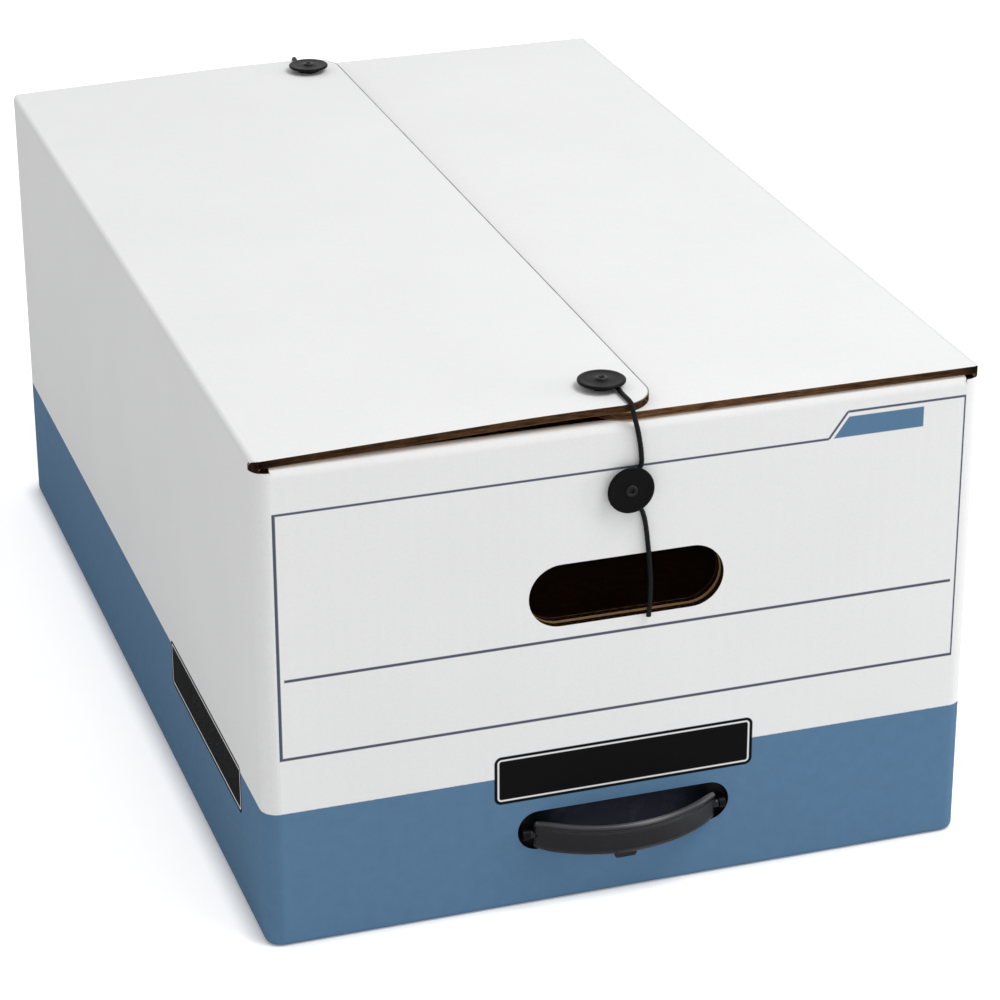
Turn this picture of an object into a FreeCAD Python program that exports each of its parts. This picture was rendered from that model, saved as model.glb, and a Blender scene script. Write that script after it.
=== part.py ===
import FreeCAD, Part
import math
import os

import Sketcher

# A corrugated storage box for files, with a string-and-button closure at each end and a strap handle in
# front. The box stands on the floor plane with its front end towards -Y. The origin is the middle of its
# bottom.

DRIVING_SIZES = (
    ("box_width", 387.4, "outside, side to side"),
    ("box_depth", 612.8, "outside, front to rear"),
    ("box_height", 273.1, "floor to the top of the right flap"),
    ("board", 4.0, "thickness of one ply of board"),
    ("corner_radius", 9.0, "outside of an upright corner"),
    ("fold_radius", 3.0, "outside of a level fold"),
    ("ply_gap", 2.4, "between the two plies of an end"),
    ("lay_clearance", 0.3, "between pieces of board that lie on each other"),
    ("corner_slot", 2.2, "open slot over each upright corner"),
    ("side_fit", 1.2, "inner ply to a side wall"),
    ("corner_fit", 0.6, "bottom ply to the inside of a corner"),
    ("bottom_flap_reach", 181.0, "of the feet that the inner plies stand on"),
    ("glue_tab_width", 35.0, "maker's joint"),
    ("glue_tab_fit", 0.5, "maker's joint to the rear inner ply"),
    ("glue_tab_below_roll", 2.0, "top of the maker's joint below the roll's middle"),
    ("flap_setback", 1.5, "flap edge behind the face of an end"),
    ("flap_past_centre", 17.0, "free edge past the middle of the box"),
    ("flap_corner_radius", 20.0, "free corners of the flaps"),
    ("bend_before_lap", 10.0, "last soft bend of the left flap to the edge it laps over"),
    ("bend_step", 18.0, "from one soft bend to the next"),
    ("flute_pitch", 7.8, "from wave to wave of the fluting"),
    ("flute_web", 0.6, "the wave's paper, across"),
    ("liner", 0.5, "flat paper on each side of the wave"),
    ("flute_depth", 12.0, "open length of the flutes behind a cut edge"),
    ("flute_margin", 2.0, "first flute to the rounded corner"),
    ("hand_hole_length", 105.6, ""),
    ("hand_hole_height", 34.7, ""),
    ("hand_hole_drop", 95.1, "middle of the hand hole below the top of the box"),
    ("tab_fit", 0.3, "hand hole's tab to the hole"),
    ("tab_fold_angle", 165.0, "degrees that the tab is folded in from its hole"),
    ("slot_length", 117.6, "handle slot"),
    ("slot_height", 22.6, ""),
    ("slot_level", 43.8, "middle of the handle slot above the floor"),
    ("strap_chord", 100.0, "strap between the middles of its ends"),
    ("strap_bow", 16.4, "middle of the strap in front of its ends"),
    ("strap_thickness", 2.8, ""),
    ("strap_height", 18.0, ""),
    ("strap_bead", 2.0, "radius of the rolled top edge"),
    ("strap_edge", 0.9, "bevels of the lower edge"),
    ("strap_drop", 1.6, "pins below the middle of the slot"),
    ("strap_droop_angle", 6.0, "degrees below level at rest"),
    ("thumb_width", 12.0, "tongue under the middle of the strap"),
    ("thumb_height", 3.0, ""),
    ("pin_radius", 1.5, ""),
    ("pin_fit", 0.06, "radial play of the pin in its ear"),
    ("knuckle_radius", 2.5, "collar between strap and ear"),
    ("knuckle_fit", 0.3, "collar to ear"),
    ("ear_place", 53.0, "inner face of an ear from the middle"),
    ("ear_thickness", 3.5, ""),
    ("ear_radius", 3.0, ""),
    ("plate_length", 150.0, "backing plate of the handle"),
    ("plate_height", 46.0, ""),
    ("plate_thickness", 1.2, ""),
    ("panel_button_drop", 40.1, "button on an end below the top of the box"),
    ("flap_button_in", 22.0, "button on the flap from the flap's free edge"),
    ("flap_button_inset", 27.4, "button on the flap from the face of the end"),
    ("button_radius", 12.5, ""),
    ("button_thickness", 1.6, ""),
    ("hub_radius", 4.5, "hub under a button"),
    ("hub_height", 3.1, ""),
    ("rivet_head_radius", 3.2, ""),
    ("rivet_head_height", 0.9, ""),
    ("rivet_radius", 1.7, "shank"),
    ("rivet_fit", 0.1, "radial clearance of the shank"),
    ("clinch_radius", 2.8, "rolled-over end of the shank"),
    ("clinch_height", 0.8, ""),
    ("washer_radius", 6.0, ""),
    ("washer_thickness", 0.8, ""),
    ("washer_fit", 0.4, "radial room round a washer sunk into the flap"),
    ("string_radius", 1.25, ""),
)

doc = FreeCAD.newDocument("file_box")
sheet = doc.addObject("Spreadsheet::Sheet", "sizes")
for row, (alias, number, meaning) in enumerate(DRIVING_SIZES, start=1):
    sheet.set("A%d" % row, alias)
    sheet.set("B%d" % row, str(number))
    sheet.setAlias("B%d" % row, alias)
    sheet.set("C%d" % row, meaning)
doc.recompute()


class Size:
    """A measure worked out from the sheet: the formula that a feature keeps, and its value now."""

    def __init__(self, formula, value):
        self.formula = formula
        self.value = value

    def __add__(self, other):
        other = as_size(other)
        return Size("(%s + %s)" % (self.formula, other.formula), self.value + other.value)

    def __sub__(self, other):
        other = as_size(other)
        return Size("(%s - %s)" % (self.formula, other.formula), self.value - other.value)

    def __mul__(self, other):
        other = as_size(other)
        return Size("(%s * %s)" % (self.formula, other.formula), self.value * other.value)

    def __truediv__(self, other):
        other = as_size(other)
        return Size("(%s / %s)" % (self.formula, other.formula), self.value / other.value)

    def __radd__(self, other):
        return as_size(other) + self

    def __rsub__(self, other):
        return as_size(other) - self

    def __rmul__(self, other):
        return as_size(other) * self

    def __neg__(self):
        return -1 * self


def as_size(value):
    return value if isinstance(value, Size) else Size("(%r)" % value, value)


def square_root(value):
    return Size("sqrt(%s)" % value.formula, math.sqrt(value.value))


def whole(value):
    return Size("floor(%s)" % value.formula, math.floor(value.value))


class Sheet:
    """The sheet's cells as measures, by their alias."""

    def __getattr__(self, alias):
        return Size("sizes." + alias, float(sheet.get(alias)))


s = Sheet()


class Round:
    """An arc about (x, y) from the corner before it to the corner after it."""

    def __init__(self, x, y, clockwise=False):
        self.x = as_size(x)
        self.y = as_size(y)
        self.clockwise = clockwise


class Disc:
    """A full circle about (x, y)."""

    def __init__(self, x, y, radius):
        self.x = as_size(x)
        self.y = as_size(y)
        self.radius = as_size(radius)


def bind(item, field, value):
    item.setExpression(field, as_size(value).formula)


def hold(drawing, item, point, x=None, y=None):
    """Hold a point of a drawn item at its distances from the drawing's origin."""
    for kind, distance in (("DistanceX", x), ("DistanceY", y)):
        if distance is not None:
            index = drawing.addConstraint(Sketcher.Constraint(kind, -1, 1, item, point, distance.value))
            drawing.setExpression("Constraints[%d]" % index, distance.formula)


def draw_circle(drawing, disc):
    middle = FreeCAD.Vector(disc.x.value, disc.y.value, 0)
    item = drawing.addGeometry(Part.Circle(middle, FreeCAD.Vector(0, 0, 1), disc.radius.value), False)
    hold(drawing, item, 3, disc.x, disc.y)
    index = drawing.addConstraint(Sketcher.Constraint("Radius", item, disc.radius.value))
    drawing.setExpression("Constraints[%d]" % index, disc.radius.formula)


def draw_arc(drawing, start, end, about):
    """The arc's own ends run anticlockwise, so a clockwise arc is drawn from its end to its start."""
    if about.clockwise:
        start, end = end, start
    middle = FreeCAD.Vector(about.x.value, about.y.value, 0)
    radius = math.hypot(start[0].value - middle.x, start[1].value - middle.y)
    angles = [math.atan2(y.value - middle.y, x.value - middle.x) for x, y in (start, end)]
    circle = Part.Circle(middle, FreeCAD.Vector(0, 0, 1), radius)
    item = drawing.addGeometry(Part.ArcOfCircle(circle, angles[0], angles[1]), False)
    upright = abs(end[1].value - start[1].value) > abs(end[0].value - start[0].value)
    hold(drawing, item, 3, x=about.x if upright else None, y=None if upright else about.y)
    return item, (2, 1) if about.clockwise else (1, 2)


def draw_loop(drawing, path):
    """A closed outline through its corners, straight from one to the next unless a Round stands between."""
    corners = [(as_size(step[0]), as_size(step[1])) for step in path if not isinstance(step, Round)]
    after = {}
    count = -1
    for step in path:
        if isinstance(step, Round):
            after[count] = step
        else:
            count += 1
    pieces = []
    for number, start in enumerate(corners):
        end = corners[(number + 1) % len(corners)]
        if number in after:
            pieces.append(draw_arc(drawing, start, end, after[number]))
        else:
            ends = [FreeCAD.Vector(x.value, y.value, 0) for x, y in (start, end)]
            pieces.append((drawing.addGeometry(Part.LineSegment(*ends), False), (1, 2)))
    for number, (item, points) in enumerate(pieces):
        following, following_points = pieces[(number + 1) % len(pieces)]
        drawing.addConstraint(
            Sketcher.Constraint("Coincident", item, points[1], following, following_points[0]))
        hold(drawing, item, points[0], *corners[number])


def draw(body, name, plane, shapes, off=0, aside=0):
    """Closed outlines on one of the body's planes, which is moved off along its normal and aside in it."""
    flat = [item for item in body.Origin.OriginFeatures if item.Role == plane][0]
    drawing = body.newObject("Sketcher::SketchObject", name)
    drawing.AttachmentSupport = [(flat, "")]
    drawing.MapMode = "FlatFace"
    bind(drawing, "AttachmentOffset.Base.z", off)
    bind(drawing, "AttachmentOffset.Base.x", aside)
    for shape in shapes:
        if isinstance(shape, Disc):
            draw_circle(drawing, shape)
        else:
            draw_loop(drawing, shape)
    return drawing


# FRONTAL looks along Y: a drawing's right is +X, its up is +Z and it grows towards -Y.
# SIDEWAYS looks along X: right is +Y, up is +Z, and it grows towards +X. LEVEL is the floor and grows up.
FRONTAL = "XZ_Plane"
SIDEWAYS = "YZ_Plane"
LEVEL = "XY_Plane"

sub_parts = []


def start_body(name):
    body = doc.addObject("PartDesign::Body", name)
    body.Label = name
    sub_parts.append(body)
    return body


def add_feature(body, kind, drawing):
    feature = body.newObject("PartDesign::" + kind, drawing.Name + "_" + kind.lower())
    feature.Profile = drawing
    body.Tip = feature
    return feature


def pad(body, drawing, length, both_ways=False, reverse=False):
    feature = add_feature(body, "Pad", drawing)
    bind(feature, "Length", length)
    feature.SideType = "Symmetric" if both_ways else "One side"
    feature.Reversed = reverse
    return feature


def cut_through(body, drawing):
    feature = add_feature(body, "Pocket", drawing)
    feature.Type = "ThroughAll"
    feature.SideType = "Symmetric"
    return feature


def cut_blind(body, drawing, depth, reverse=False):
    feature = add_feature(body, "Pocket", drawing)
    bind(feature, "Length", depth)
    feature.Reversed = reverse
    return feature


def turn(body, drawing, angle=360, both_ways=False):
    """Turn an outline about the drawing's upright axis."""
    feature = add_feature(body, "Revolution", drawing)
    feature.ReferenceAxis = (drawing, ["V_Axis"])
    feature.Midplane = both_ways
    bind(feature, "Angle", angle)
    return feature


def round_edges(body, name, radius, on_edge):
    """Round the edges of the body so far that pass a test at both ends and in the middle."""
    doc.recompute()
    base = body.Tip
    chosen = []
    for number, edge in enumerate(base.Shape.Edges, start=1):
        middle = edge.valueAt((edge.FirstParameter + edge.LastParameter) / 2)
        points = [vertex.Point for vertex in edge.Vertexes] + [middle]
        if all(on_edge(point) for point in points):
            chosen.append("Edge%d" % number)
    feature = body.newObject("PartDesign::Fillet", name)
    feature.Base = (base, chosen)
    bind(feature, "Radius", radius)
    body.Tip = feature
    return feature


def near(first, second):
    return abs(first - as_size(second).value) < 1e-4


def place(body, x, y, z, turned_about_x=0):
    body.Placement = FreeCAD.Placement(FreeCAD.Vector(), FreeCAD.Rotation(FreeCAD.Vector(1, 0, 0), 1))
    bind(body, "Placement.Base.x", x)
    bind(body, "Placement.Base.y", y)
    bind(body, "Placement.Base.z", z)
    body.setExpression("Placement.Rotation.Angle", as_size(turned_about_x).formula + " * 1deg")


def rectangle(left, low, right, high):
    return [(left, low), (right, low), (right, high), (left, high)]


def rounded_rectangle(left, low, right, high, radius):
    return [(left + radius, low), (right - radius, low), Round(right - radius, low + radius),
            (right, low + radius), (right, high - radius), Round(right - radius, high - radius),
            (right - radius, high), (left + radius, high), Round(left + radius, high - radius),
            (left, high - radius), (left, low + radius), Round(left + radius, low + radius)]


def stadium(level, length, height):
    """A long hole with half-round ends, centred on the box's middle at a level."""
    straight = (length - height) / 2
    radius = height / 2
    return [(-straight, level - radius), (straight, level - radius), Round(straight, level),
            (straight, level + radius), (-straight, level + radius), Round(-straight, level)]


# Levels and planes that several pieces share.
half_width = s.box_width / 2
half_depth = s.box_depth / 2
fold_corner = s.fold_radius * (1 - math.sqrt(0.5))
roll_radius = s.board + s.ply_gap / 2
roll_level = s.box_height - s.board - s.lay_clearance - roll_radius
inner_ply_face = half_depth - 2 * s.board - s.ply_gap
floor_top = 3 * s.board
pin_level = s.slot_level - s.strap_drop
flap_half = half_depth - s.flap_setback
lap_lift = s.board + s.lay_clearance
left_flap_under = s.box_height + s.lay_clearance
left_flap_top = left_flap_under + s.board
hand_hole_level = s.box_height - s.hand_hole_drop
hand_hole = stadium(hand_hole_level, s.hand_hole_length, s.hand_hole_height)
panel_button_level = s.box_height - s.panel_button_drop
rivet_hole = s.rivet_radius + s.rivet_fit
clinch_stack = s.washer_thickness + s.clinch_height
flap_button_x = s.flap_past_centre - s.flap_button_in
flap_button_y = half_depth - s.flap_button_inset


def side_panel(name, side):
    """A side wall, mitred under its top fold, with the two upright corners that it turns into the ends."""
    body = start_body(name)
    outer = side * half_width
    inner = side * (half_width - s.board)
    fold = outer - side * s.fold_radius
    wall = [(inner, 0), (fold, 0), Round(fold, s.fold_radius, clockwise=side < 0), (outer, s.fold_radius),
            (outer, s.box_height - s.fold_radius),
            Round(fold, s.box_height - s.fold_radius, clockwise=side < 0),
            (outer - side * fold_corner, s.box_height - fold_corner), (inner, s.box_height - s.board)]
    pad(body, draw(body, name + "_section", FRONTAL, [wall]),
        s.box_depth - 2 * s.corner_radius, both_ways=True)
    corners = []
    for end in (-1, 1):
        x = side * (half_width - s.corner_radius)
        y = end * (half_depth - s.corner_radius)
        corners.append([(outer, y), Round(x, y, clockwise=side * end < 0), (x, end * half_depth),
                        (x, end * (half_depth - s.board)), Round(x, y, clockwise=side * end > 0), (inner, y)])
    pad(body, draw(body, name + "_corners", LEVEL, corners), s.box_height - s.board - s.corner_slot)


def end_panel(name, end, holes):
    """The outer ply of an end, with the roll that carries it over to the inner ply."""
    body = start_body(name)
    backwards = end < 0
    face = end * half_depth
    back = end * (half_depth - s.board)
    ply = [(back, 0), (face - end * s.fold_radius, 0),
           Round(face - end * s.fold_radius, s.fold_radius, clockwise=backwards), (face, s.fold_radius),
           (face, roll_level), Round(face - end * roll_radius, roll_level, clockwise=backwards),
           (end * inner_ply_face, roll_level), (end * (inner_ply_face + s.board), roll_level),
           Round(face - end * roll_radius, roll_level, clockwise=not backwards), (back, roll_level)]
    pad(body, draw(body, name + "_section", SIDEWAYS, [ply]),
        s.box_width - 2 * s.corner_radius, both_ways=True)
    cut_through(body, draw(body, name + "_holes", FRONTAL, holes))


def inner_panel(name, end):
    """The inner ply of an end, which hangs from the roll and stands on the bottom flap."""
    body = start_body(name)
    reach = half_width - s.board - s.side_fit
    ply = rectangle(-reach, floor_top, reach, roll_level)
    pad(body, draw(body, name + "_ply", FRONTAL, [ply], off=-end * inner_ply_face), s.board, reverse=end > 0)
    cut_through(body, draw(body, name + "_hole", FRONTAL, [hand_hole]))


def hand_hole_tab(name, end):
    """The tab cut from the inner ply, which hangs on the crease along the top of the hole.

    It is drawn in its hole, with the crease through its origin, and then folded in and up.
    """
    body = start_body(name)
    straight = (s.hand_hole_length - s.hand_hole_height) / 2
    middle = -s.hand_hole_height / 2
    foot = s.tab_fit - s.hand_hole_height
    tab = [(-straight, 0), (-straight, -s.tab_fit), Round(-straight, middle), (-straight, foot),
           (straight, foot), Round(straight, middle), (straight, -s.tab_fit), (straight, 0)]
    pad(body, draw(body, name + "_outline", FRONTAL, [tab]), s.board, reverse=end > 0)
    place(body, 0, end * inner_ply_face, hand_hole_level + s.hand_hole_height / 2, -end * s.tab_fold_angle)


def bottom_panel(name, layer):
    """One ply of the bottom, from wall to wall, with its corners eased round the box's corners."""
    body = start_body(name)
    x = half_width - s.board
    y = half_depth - s.board
    outline = rounded_rectangle(-x, -y, x, y, s.corner_radius - s.board + s.corner_fit)
    pad(body, draw(body, name + "_outline", LEVEL, [outline], off=layer * s.board), s.board)


def bottom_flap(name, end):
    """The foot of a rolled end: it lies on the bottom under the inner ply."""
    body = start_body(name)
    x = half_width - s.corner_radius - s.corner_fit
    near_edge = end * (half_depth - s.board)
    far_edge = end * (half_depth - s.board - s.bottom_flap_reach)
    low, high = (near_edge, far_edge) if end < 0 else (far_edge, near_edge)
    pad(body, draw(body, name + "_outline", LEVEL, [rectangle(-x, low, x, high)], off=2 * s.board), s.board)


def glue_tab():
    """The maker's joint: a strip glued inside the left wall beside the rear corner."""
    body = start_body("glue_tab")
    wall = half_width - s.board
    rear = inner_ply_face - s.glue_tab_fit
    strip = rectangle(rear - s.glue_tab_width, floor_top, rear, roll_level - s.glue_tab_below_roll)
    pad(body, draw(body, "glue_tab_outline", SIDEWAYS, [strip], off=-wall), s.board)


def open_flutes(body, name, free_edge, under):
    """Cut the mouths of the flutes into the right-hand edge of a flap.

    The wave between the liners leaves a triangle under each crest and one over each trough. Both are cut once
    at the front corner and repeated along the edge.
    """
    half_mouth = s.flute_pitch / 2 - s.flute_web
    reach = flap_half - s.flap_corner_radius - s.flute_margin
    low = under + s.liner
    high = under + s.board - s.liner
    first = s.flute_pitch / 4 - reach
    second = first + s.flute_pitch / 2
    crest = [(first - half_mouth, low), (first + half_mouth, low), (first, high)]
    trough = [(second, low), (second + half_mouth, high), (second - half_mouth, high)]
    drawing = draw(body, name + "_flutes", SIDEWAYS, [crest, trough], off=free_edge)
    wave = cut_blind(body, drawing, s.flute_depth)
    waves = whole(2 * reach / s.flute_pitch)
    row = body.newObject("PartDesign::LinearPattern", name + "_flute_row")
    row.Originals = [wave]
    row.Direction = (drawing, ["H_Axis"])
    bind(row, "Occurrences", waves)
    bind(row, "Length", (waves - 1) * s.flute_pitch)
    body.Tip = row


def round_free_corners(body, name, free_edge):
    def on_corner(point):
        return near(point.x, free_edge) and near(abs(point.y), flap_half)

    round_edges(body, name + "_corners", s.flap_corner_radius, on_corner)


def right_top_flap():
    """The lower flap: flat, from its mitred fold to its free edge past the middle.

    Its free edge lies under the upper flap and is drawn without its flutes.
    """
    name = "right_top_flap"
    body = start_body(name)
    under = s.box_height - s.board
    free_edge = -s.flap_past_centre
    section = [(half_width - s.board, under), (half_width - fold_corner, s.box_height - fold_corner),
               Round(half_width - s.fold_radius, s.box_height - s.fold_radius),
               (half_width - s.fold_radius, s.box_height), (free_edge, s.box_height), (free_edge, under)]
    pad(body, draw(body, name + "_section", FRONTAL, [section]), 2 * flap_half, both_ways=True)
    round_free_corners(body, name, free_edge)


def left_top_flap():
    """The upper flap, which climbs from its fold and bends softly level where it laps over the lower one."""
    name = "left_top_flap"
    body = start_body(name)
    free_edge = s.flap_past_centre
    start = s.board - half_width
    under = s.box_height - s.board
    last_bend = -s.flap_past_centre - s.bend_before_lap
    first_bend = last_bend - 2 * s.bend_step
    slope = lap_lift / (first_bend - start + s.bend_step)
    climb = [(start, under), (first_bend, under + slope * (first_bend - start)),
             (first_bend + s.bend_step, left_flap_under - slope * s.bend_step / 3),
             (last_bend, left_flap_under), (free_edge, left_flap_under)]
    above = [(x, z + s.board) for x, z in reversed(climb)]
    fold = [(s.fold_radius - half_width, s.box_height),
            Round(s.fold_radius - half_width, s.box_height - s.fold_radius),
            (fold_corner - half_width, s.box_height - fold_corner)]
    pad(body, draw(body, name + "_section", FRONTAL, [climb + above + fold]), 2 * flap_half, both_ways=True)
    round_free_corners(body, name, free_edge)
    sinks = [Disc(flap_button_x, end * flap_button_y, s.washer_radius + s.washer_fit) for end in (-1, 1)]
    drawing = draw(body, name + "_sinks", LEVEL, sinks, off=left_flap_under)
    cut_blind(body, drawing, clinch_stack, reverse=True)
    holes = [Disc(flap_button_x, end * flap_button_y, rivet_hole) for end in (-1, 1)]
    cut_through(body, draw(body, name + "_rivet_holes", LEVEL, holes))
    open_flutes(body, name, free_edge, left_flap_under)


def closure(name, x, y, z, faces, held):
    """A riveted button: a disc that stands off the board on its hub, a rivet, and a washer behind the board.

    Each piece is turned about the rivet's axis, with the board's face at zero and outwards up. The board that
    the rivet holds is as thick as held.
    """
    under_disc = s.hub_height
    over_disc = under_disc + s.button_thickness
    hole = rivet_hole

    button = start_body(name + "_button")
    disc = [(hole, 0), (s.hub_radius, 0), (s.hub_radius, under_disc), (s.button_radius, under_disc),
            (s.button_radius, over_disc), (hole, over_disc)]
    turn(button, draw(button, name + "_button_section", FRONTAL, [disc]))

    washer = start_body(name + "_washer")
    ring = rectangle(hole, -held - s.washer_thickness, s.washer_radius, -held)
    turn(washer, draw(washer, name + "_washer_section", FRONTAL, [ring]))

    rivet = start_body(name + "_rivet")
    crown = over_disc + s.rivet_head_height
    clinch_top = -held - s.washer_thickness
    tail = clinch_top - s.clinch_height
    shank = [(0, crown), (s.rivet_head_radius, crown), (s.rivet_head_radius, over_disc),
             (s.rivet_radius, over_disc), (s.rivet_radius, clinch_top), (s.clinch_radius, clinch_top),
             (s.clinch_radius, tail), (0, tail)]
    turn(rivet, draw(rivet, name + "_rivet_section", FRONTAL, [shank]))

    for body in (button, washer, rivet):
        place(body, x, y, z, faces)


def handle_backplate():
    """The plate between the plies behind the handle slot, with an ear through the slot at each end."""
    name = "handle_backplate"
    body = start_body(name)
    front = s.board - half_depth
    plate = rectangle(-s.plate_length / 2, s.slot_level - s.plate_height / 2,
                      s.plate_length / 2, s.slot_level + s.plate_height / 2)
    pad(body, draw(body, name + "_plate", FRONTAL, [plate], off=-front - s.plate_thickness),
        s.plate_thickness)
    low = pin_level - s.ear_radius
    high = pin_level + s.ear_radius
    ear = [(front, low), (front, high), (-half_depth, high), Round(-half_depth, pin_level),
           (-half_depth, low)]
    eye = Disc(-half_depth, pin_level, s.pin_radius + s.pin_fit)
    for side, word in ((-1, "left"), (1, "right")):
        drawing = draw(body, "%s_%s_ear" % (name, word), SIDEWAYS, [ear, eye], off=side * s.ear_place)
        pad(body, drawing, s.ear_thickness, reverse=side < 0)


# Directions from the middle of the strap's bead to the corners of its section, against the clock from level.
BEAD_CORNERS = (198, 148, 98, 48)


def handle_strap():
    """The moulded strap: a beaded band turned about the middle of its bow, with a pin at each end.

    It is drawn level with its pins through its origin and then hung between the ears.
    """
    name = "handle_strap"
    body = start_body(name)
    half_chord = s.strap_chord / 2
    bow_radius = (half_chord * half_chord + s.strap_bow * s.strap_bow) / (2 * s.strap_bow)
    behind = bow_radius - s.strap_bow
    inside = s.strap_thickness / 2 - bow_radius
    outside = inside - s.strap_thickness
    foot = -s.strap_height / 2
    bead_x = inside - s.strap_bead
    bead_level = -foot - s.strap_bead
    overhang = s.strap_thickness - s.strap_bead
    bead_meets = bead_level - square_root(s.strap_bead * s.strap_bead - overhang * overhang)
    bead = [(bead_x + s.strap_bead * math.cos(math.radians(corner)),
             bead_level + s.strap_bead * math.sin(math.radians(corner))) for corner in BEAD_CORNERS]
    edge = s.strap_edge
    band = [(inside - edge, foot), (outside + edge, foot), (outside, foot + edge), (outside, bead_meets)]
    band += bead + [(inside, bead_level), (inside, foot + edge)]
    half_turn = Size("asin(%s) / 1deg" % (half_chord / bow_radius).formula,
                     math.degrees(math.asin(half_chord.value / bow_radius.value)))
    turn(body, draw(body, name + "_band", SIDEWAYS, [band], aside=behind), 2 * half_turn, both_ways=True)

    tongue_top = foot + 2 * edge
    corner = s.thumb_height / 2
    tongue = [(-s.thumb_width / 2, tongue_top), (-s.thumb_width / 2, foot - s.thumb_height + corner),
              (corner - s.thumb_width / 2, foot - s.thumb_height),
              (s.thumb_width / 2 - corner, foot - s.thumb_height),
              (s.thumb_width / 2, foot - s.thumb_height + corner), (s.thumb_width / 2, tongue_top)]
    pad(body, draw(body, name + "_tongue", FRONTAL, [tongue], off=s.strap_bow), s.strap_thickness - edge,
        both_ways=True)

    pin_start = half_chord - s.strap_thickness / 2
    knuckle_end = s.ear_place - s.knuckle_fit
    pin_end = s.ear_place + s.ear_thickness
    for side, word in ((-1, "left"), (1, "right")):
        for part, radius, end in (("knuckle", s.knuckle_radius, knuckle_end), ("pin", s.pin_radius, pin_end)):
            drawing = draw(body, "%s_%s_%s" % (name, word, part), SIDEWAYS, [Disc(0, 0, radius)],
                           off=side * pin_start)
            pad(body, drawing, end - pin_start, reverse=side < 0)
    place(body, 0, -half_depth, pin_level, s.strap_droop_angle)


# Each string starts in a loop round its hub on the flap, crosses the end of the flap, goes down the end of
# the box, round the hub there and hangs down from it. A point is (x, outwards from the face of the end, up
# from the top of the box), chosen by hand.
FRONT_STRING = (
    (-1.6, -22.4, 5.85), (-5.0, -20.4, 5.85), (-11.05, -23.9, 5.85), (-11.05, -30.9, 5.85),
    (-5.0, -34.4, 5.85), (1.05, -30.9, 5.85), (1.3, -22.0, 5.85), (0.4, -12.0, 5.85),
    (1.0, -2.2, 5.85), (1.2, 0.8, 4.3), (1.4, 1.6, 1.3),
    (4.3, 1.55, -9.6), (6.0, 1.6, -20.0), (6.6, 1.55, -29.4), (0.3, 1.55, -32.6), (-6.2, 1.55, -36.4),
    (-6.2, 1.55, -43.8), (0.0, 1.55, -47.4), (5.9, 1.55, -50.6),
    (8.4, 1.6, -57.6), (9.8, 1.7, -67.4), (11.4, 1.6, -82.6), (12.4, 1.6, -98.6), (11.3, 1.7, -113.4),
)
REAR_STRING = (
    (-8.4, -22.4, 5.85), (-5.0, -20.4, 5.85), (1.05, -23.9, 5.85), (1.05, -30.9, 5.85),
    (-5.0, -34.4, 5.85), (-11.05, -30.9, 5.85), (-11.0, -22.0, 5.85), (-8.8, -12.0, 5.85),
    (-7.6, -2.2, 5.85), (-7.4, 0.8, 4.3), (-7.3, 1.6, 1.3),
    (-7.4, 1.55, -9.6), (-7.1, 1.6, -20.0), (-6.6, 1.55, -29.4), (-0.3, 1.55, -32.6), (6.2, 1.55, -36.4),
    (6.2, 1.55, -43.8), (0.0, 1.55, -47.4), (-5.9, 1.55, -50.6),
    (-7.6, 1.6, -57.2), (-8.4, 1.7, -67.2), (-9.9, 1.6, -82.2), (-10.2, 1.6, -98.0), (-11.6, 1.7, -112.6),
)

STRING_SIDES = 5


def string(name, end, route):
    """A string as straight runs joined by tangent arcs, each as large as its two runs allow.

    Its section is a pentagon with the area of the round string.
    """
    area = math.pi * s.string_radius.value ** 2
    radius = math.sqrt(2 * area / (STRING_SIDES * math.sin(2 * math.pi / STRING_SIDES)))
    points = [FreeCAD.Vector(x, end * (half_depth.value + out), s.box_height.value + up)
              for x, out, up in route]
    edges = []
    radii = []
    start = points[0]
    for before, point, after in zip(points, points[1:], points[2:]):
        first = (point - before).normalize()
        second = (after - point).normalize()
        half_turn = math.acos(max(-1.0, min(1.0, first.dot(second)))) / 2
        shorter = min(point.distanceToPoint(before), point.distanceToPoint(after))
        bend = 0.45 * shorter / math.tan(half_turn)
        inset = bend * math.tan(half_turn)
        bulge = bend * (1 / math.cos(half_turn) - 1)
        inwards = (second - first).normalize()
        leave = point - first * inset
        join = point + second * inset
        edges.append(Part.LineSegment(start, leave).toShape())
        edges.append(Part.Arc(leave, point + inwards * bulge, join).toShape())
        radii.append(bend)
        start = join
    edges.append(Part.LineSegment(start, points[-1]).toShape())
    path = Part.Wire(edges)
    along = (points[1] - points[0]).normalize()
    across = along.cross(FreeCAD.Vector(0, 0, 1)).normalize()
    up = across.cross(along)
    corners = []
    for number in range(STRING_SIDES + 1):
        angle = 2 * math.pi * (number + 0.5) / STRING_SIDES
        corners.append(points[0] + across * (radius * math.cos(angle)) + up * (radius * math.sin(angle)))
    section = Part.makePolygon(corners)
    tube = path.makePipeShell([section], True, False)
    expected = Part.Face(section).Area * path.Length
    print("%s: length %.1f, tightest bends %s, volume %.4f of section times length" % (
        name, path.Length, " ".join("%.1f" % bend for bend in sorted(radii)[:4]), tube.Volume / expected))
    feature = doc.addObject("Part::Feature", name)
    feature.Label = name
    feature.Shape = tube
    sub_parts.append(feature)


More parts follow.
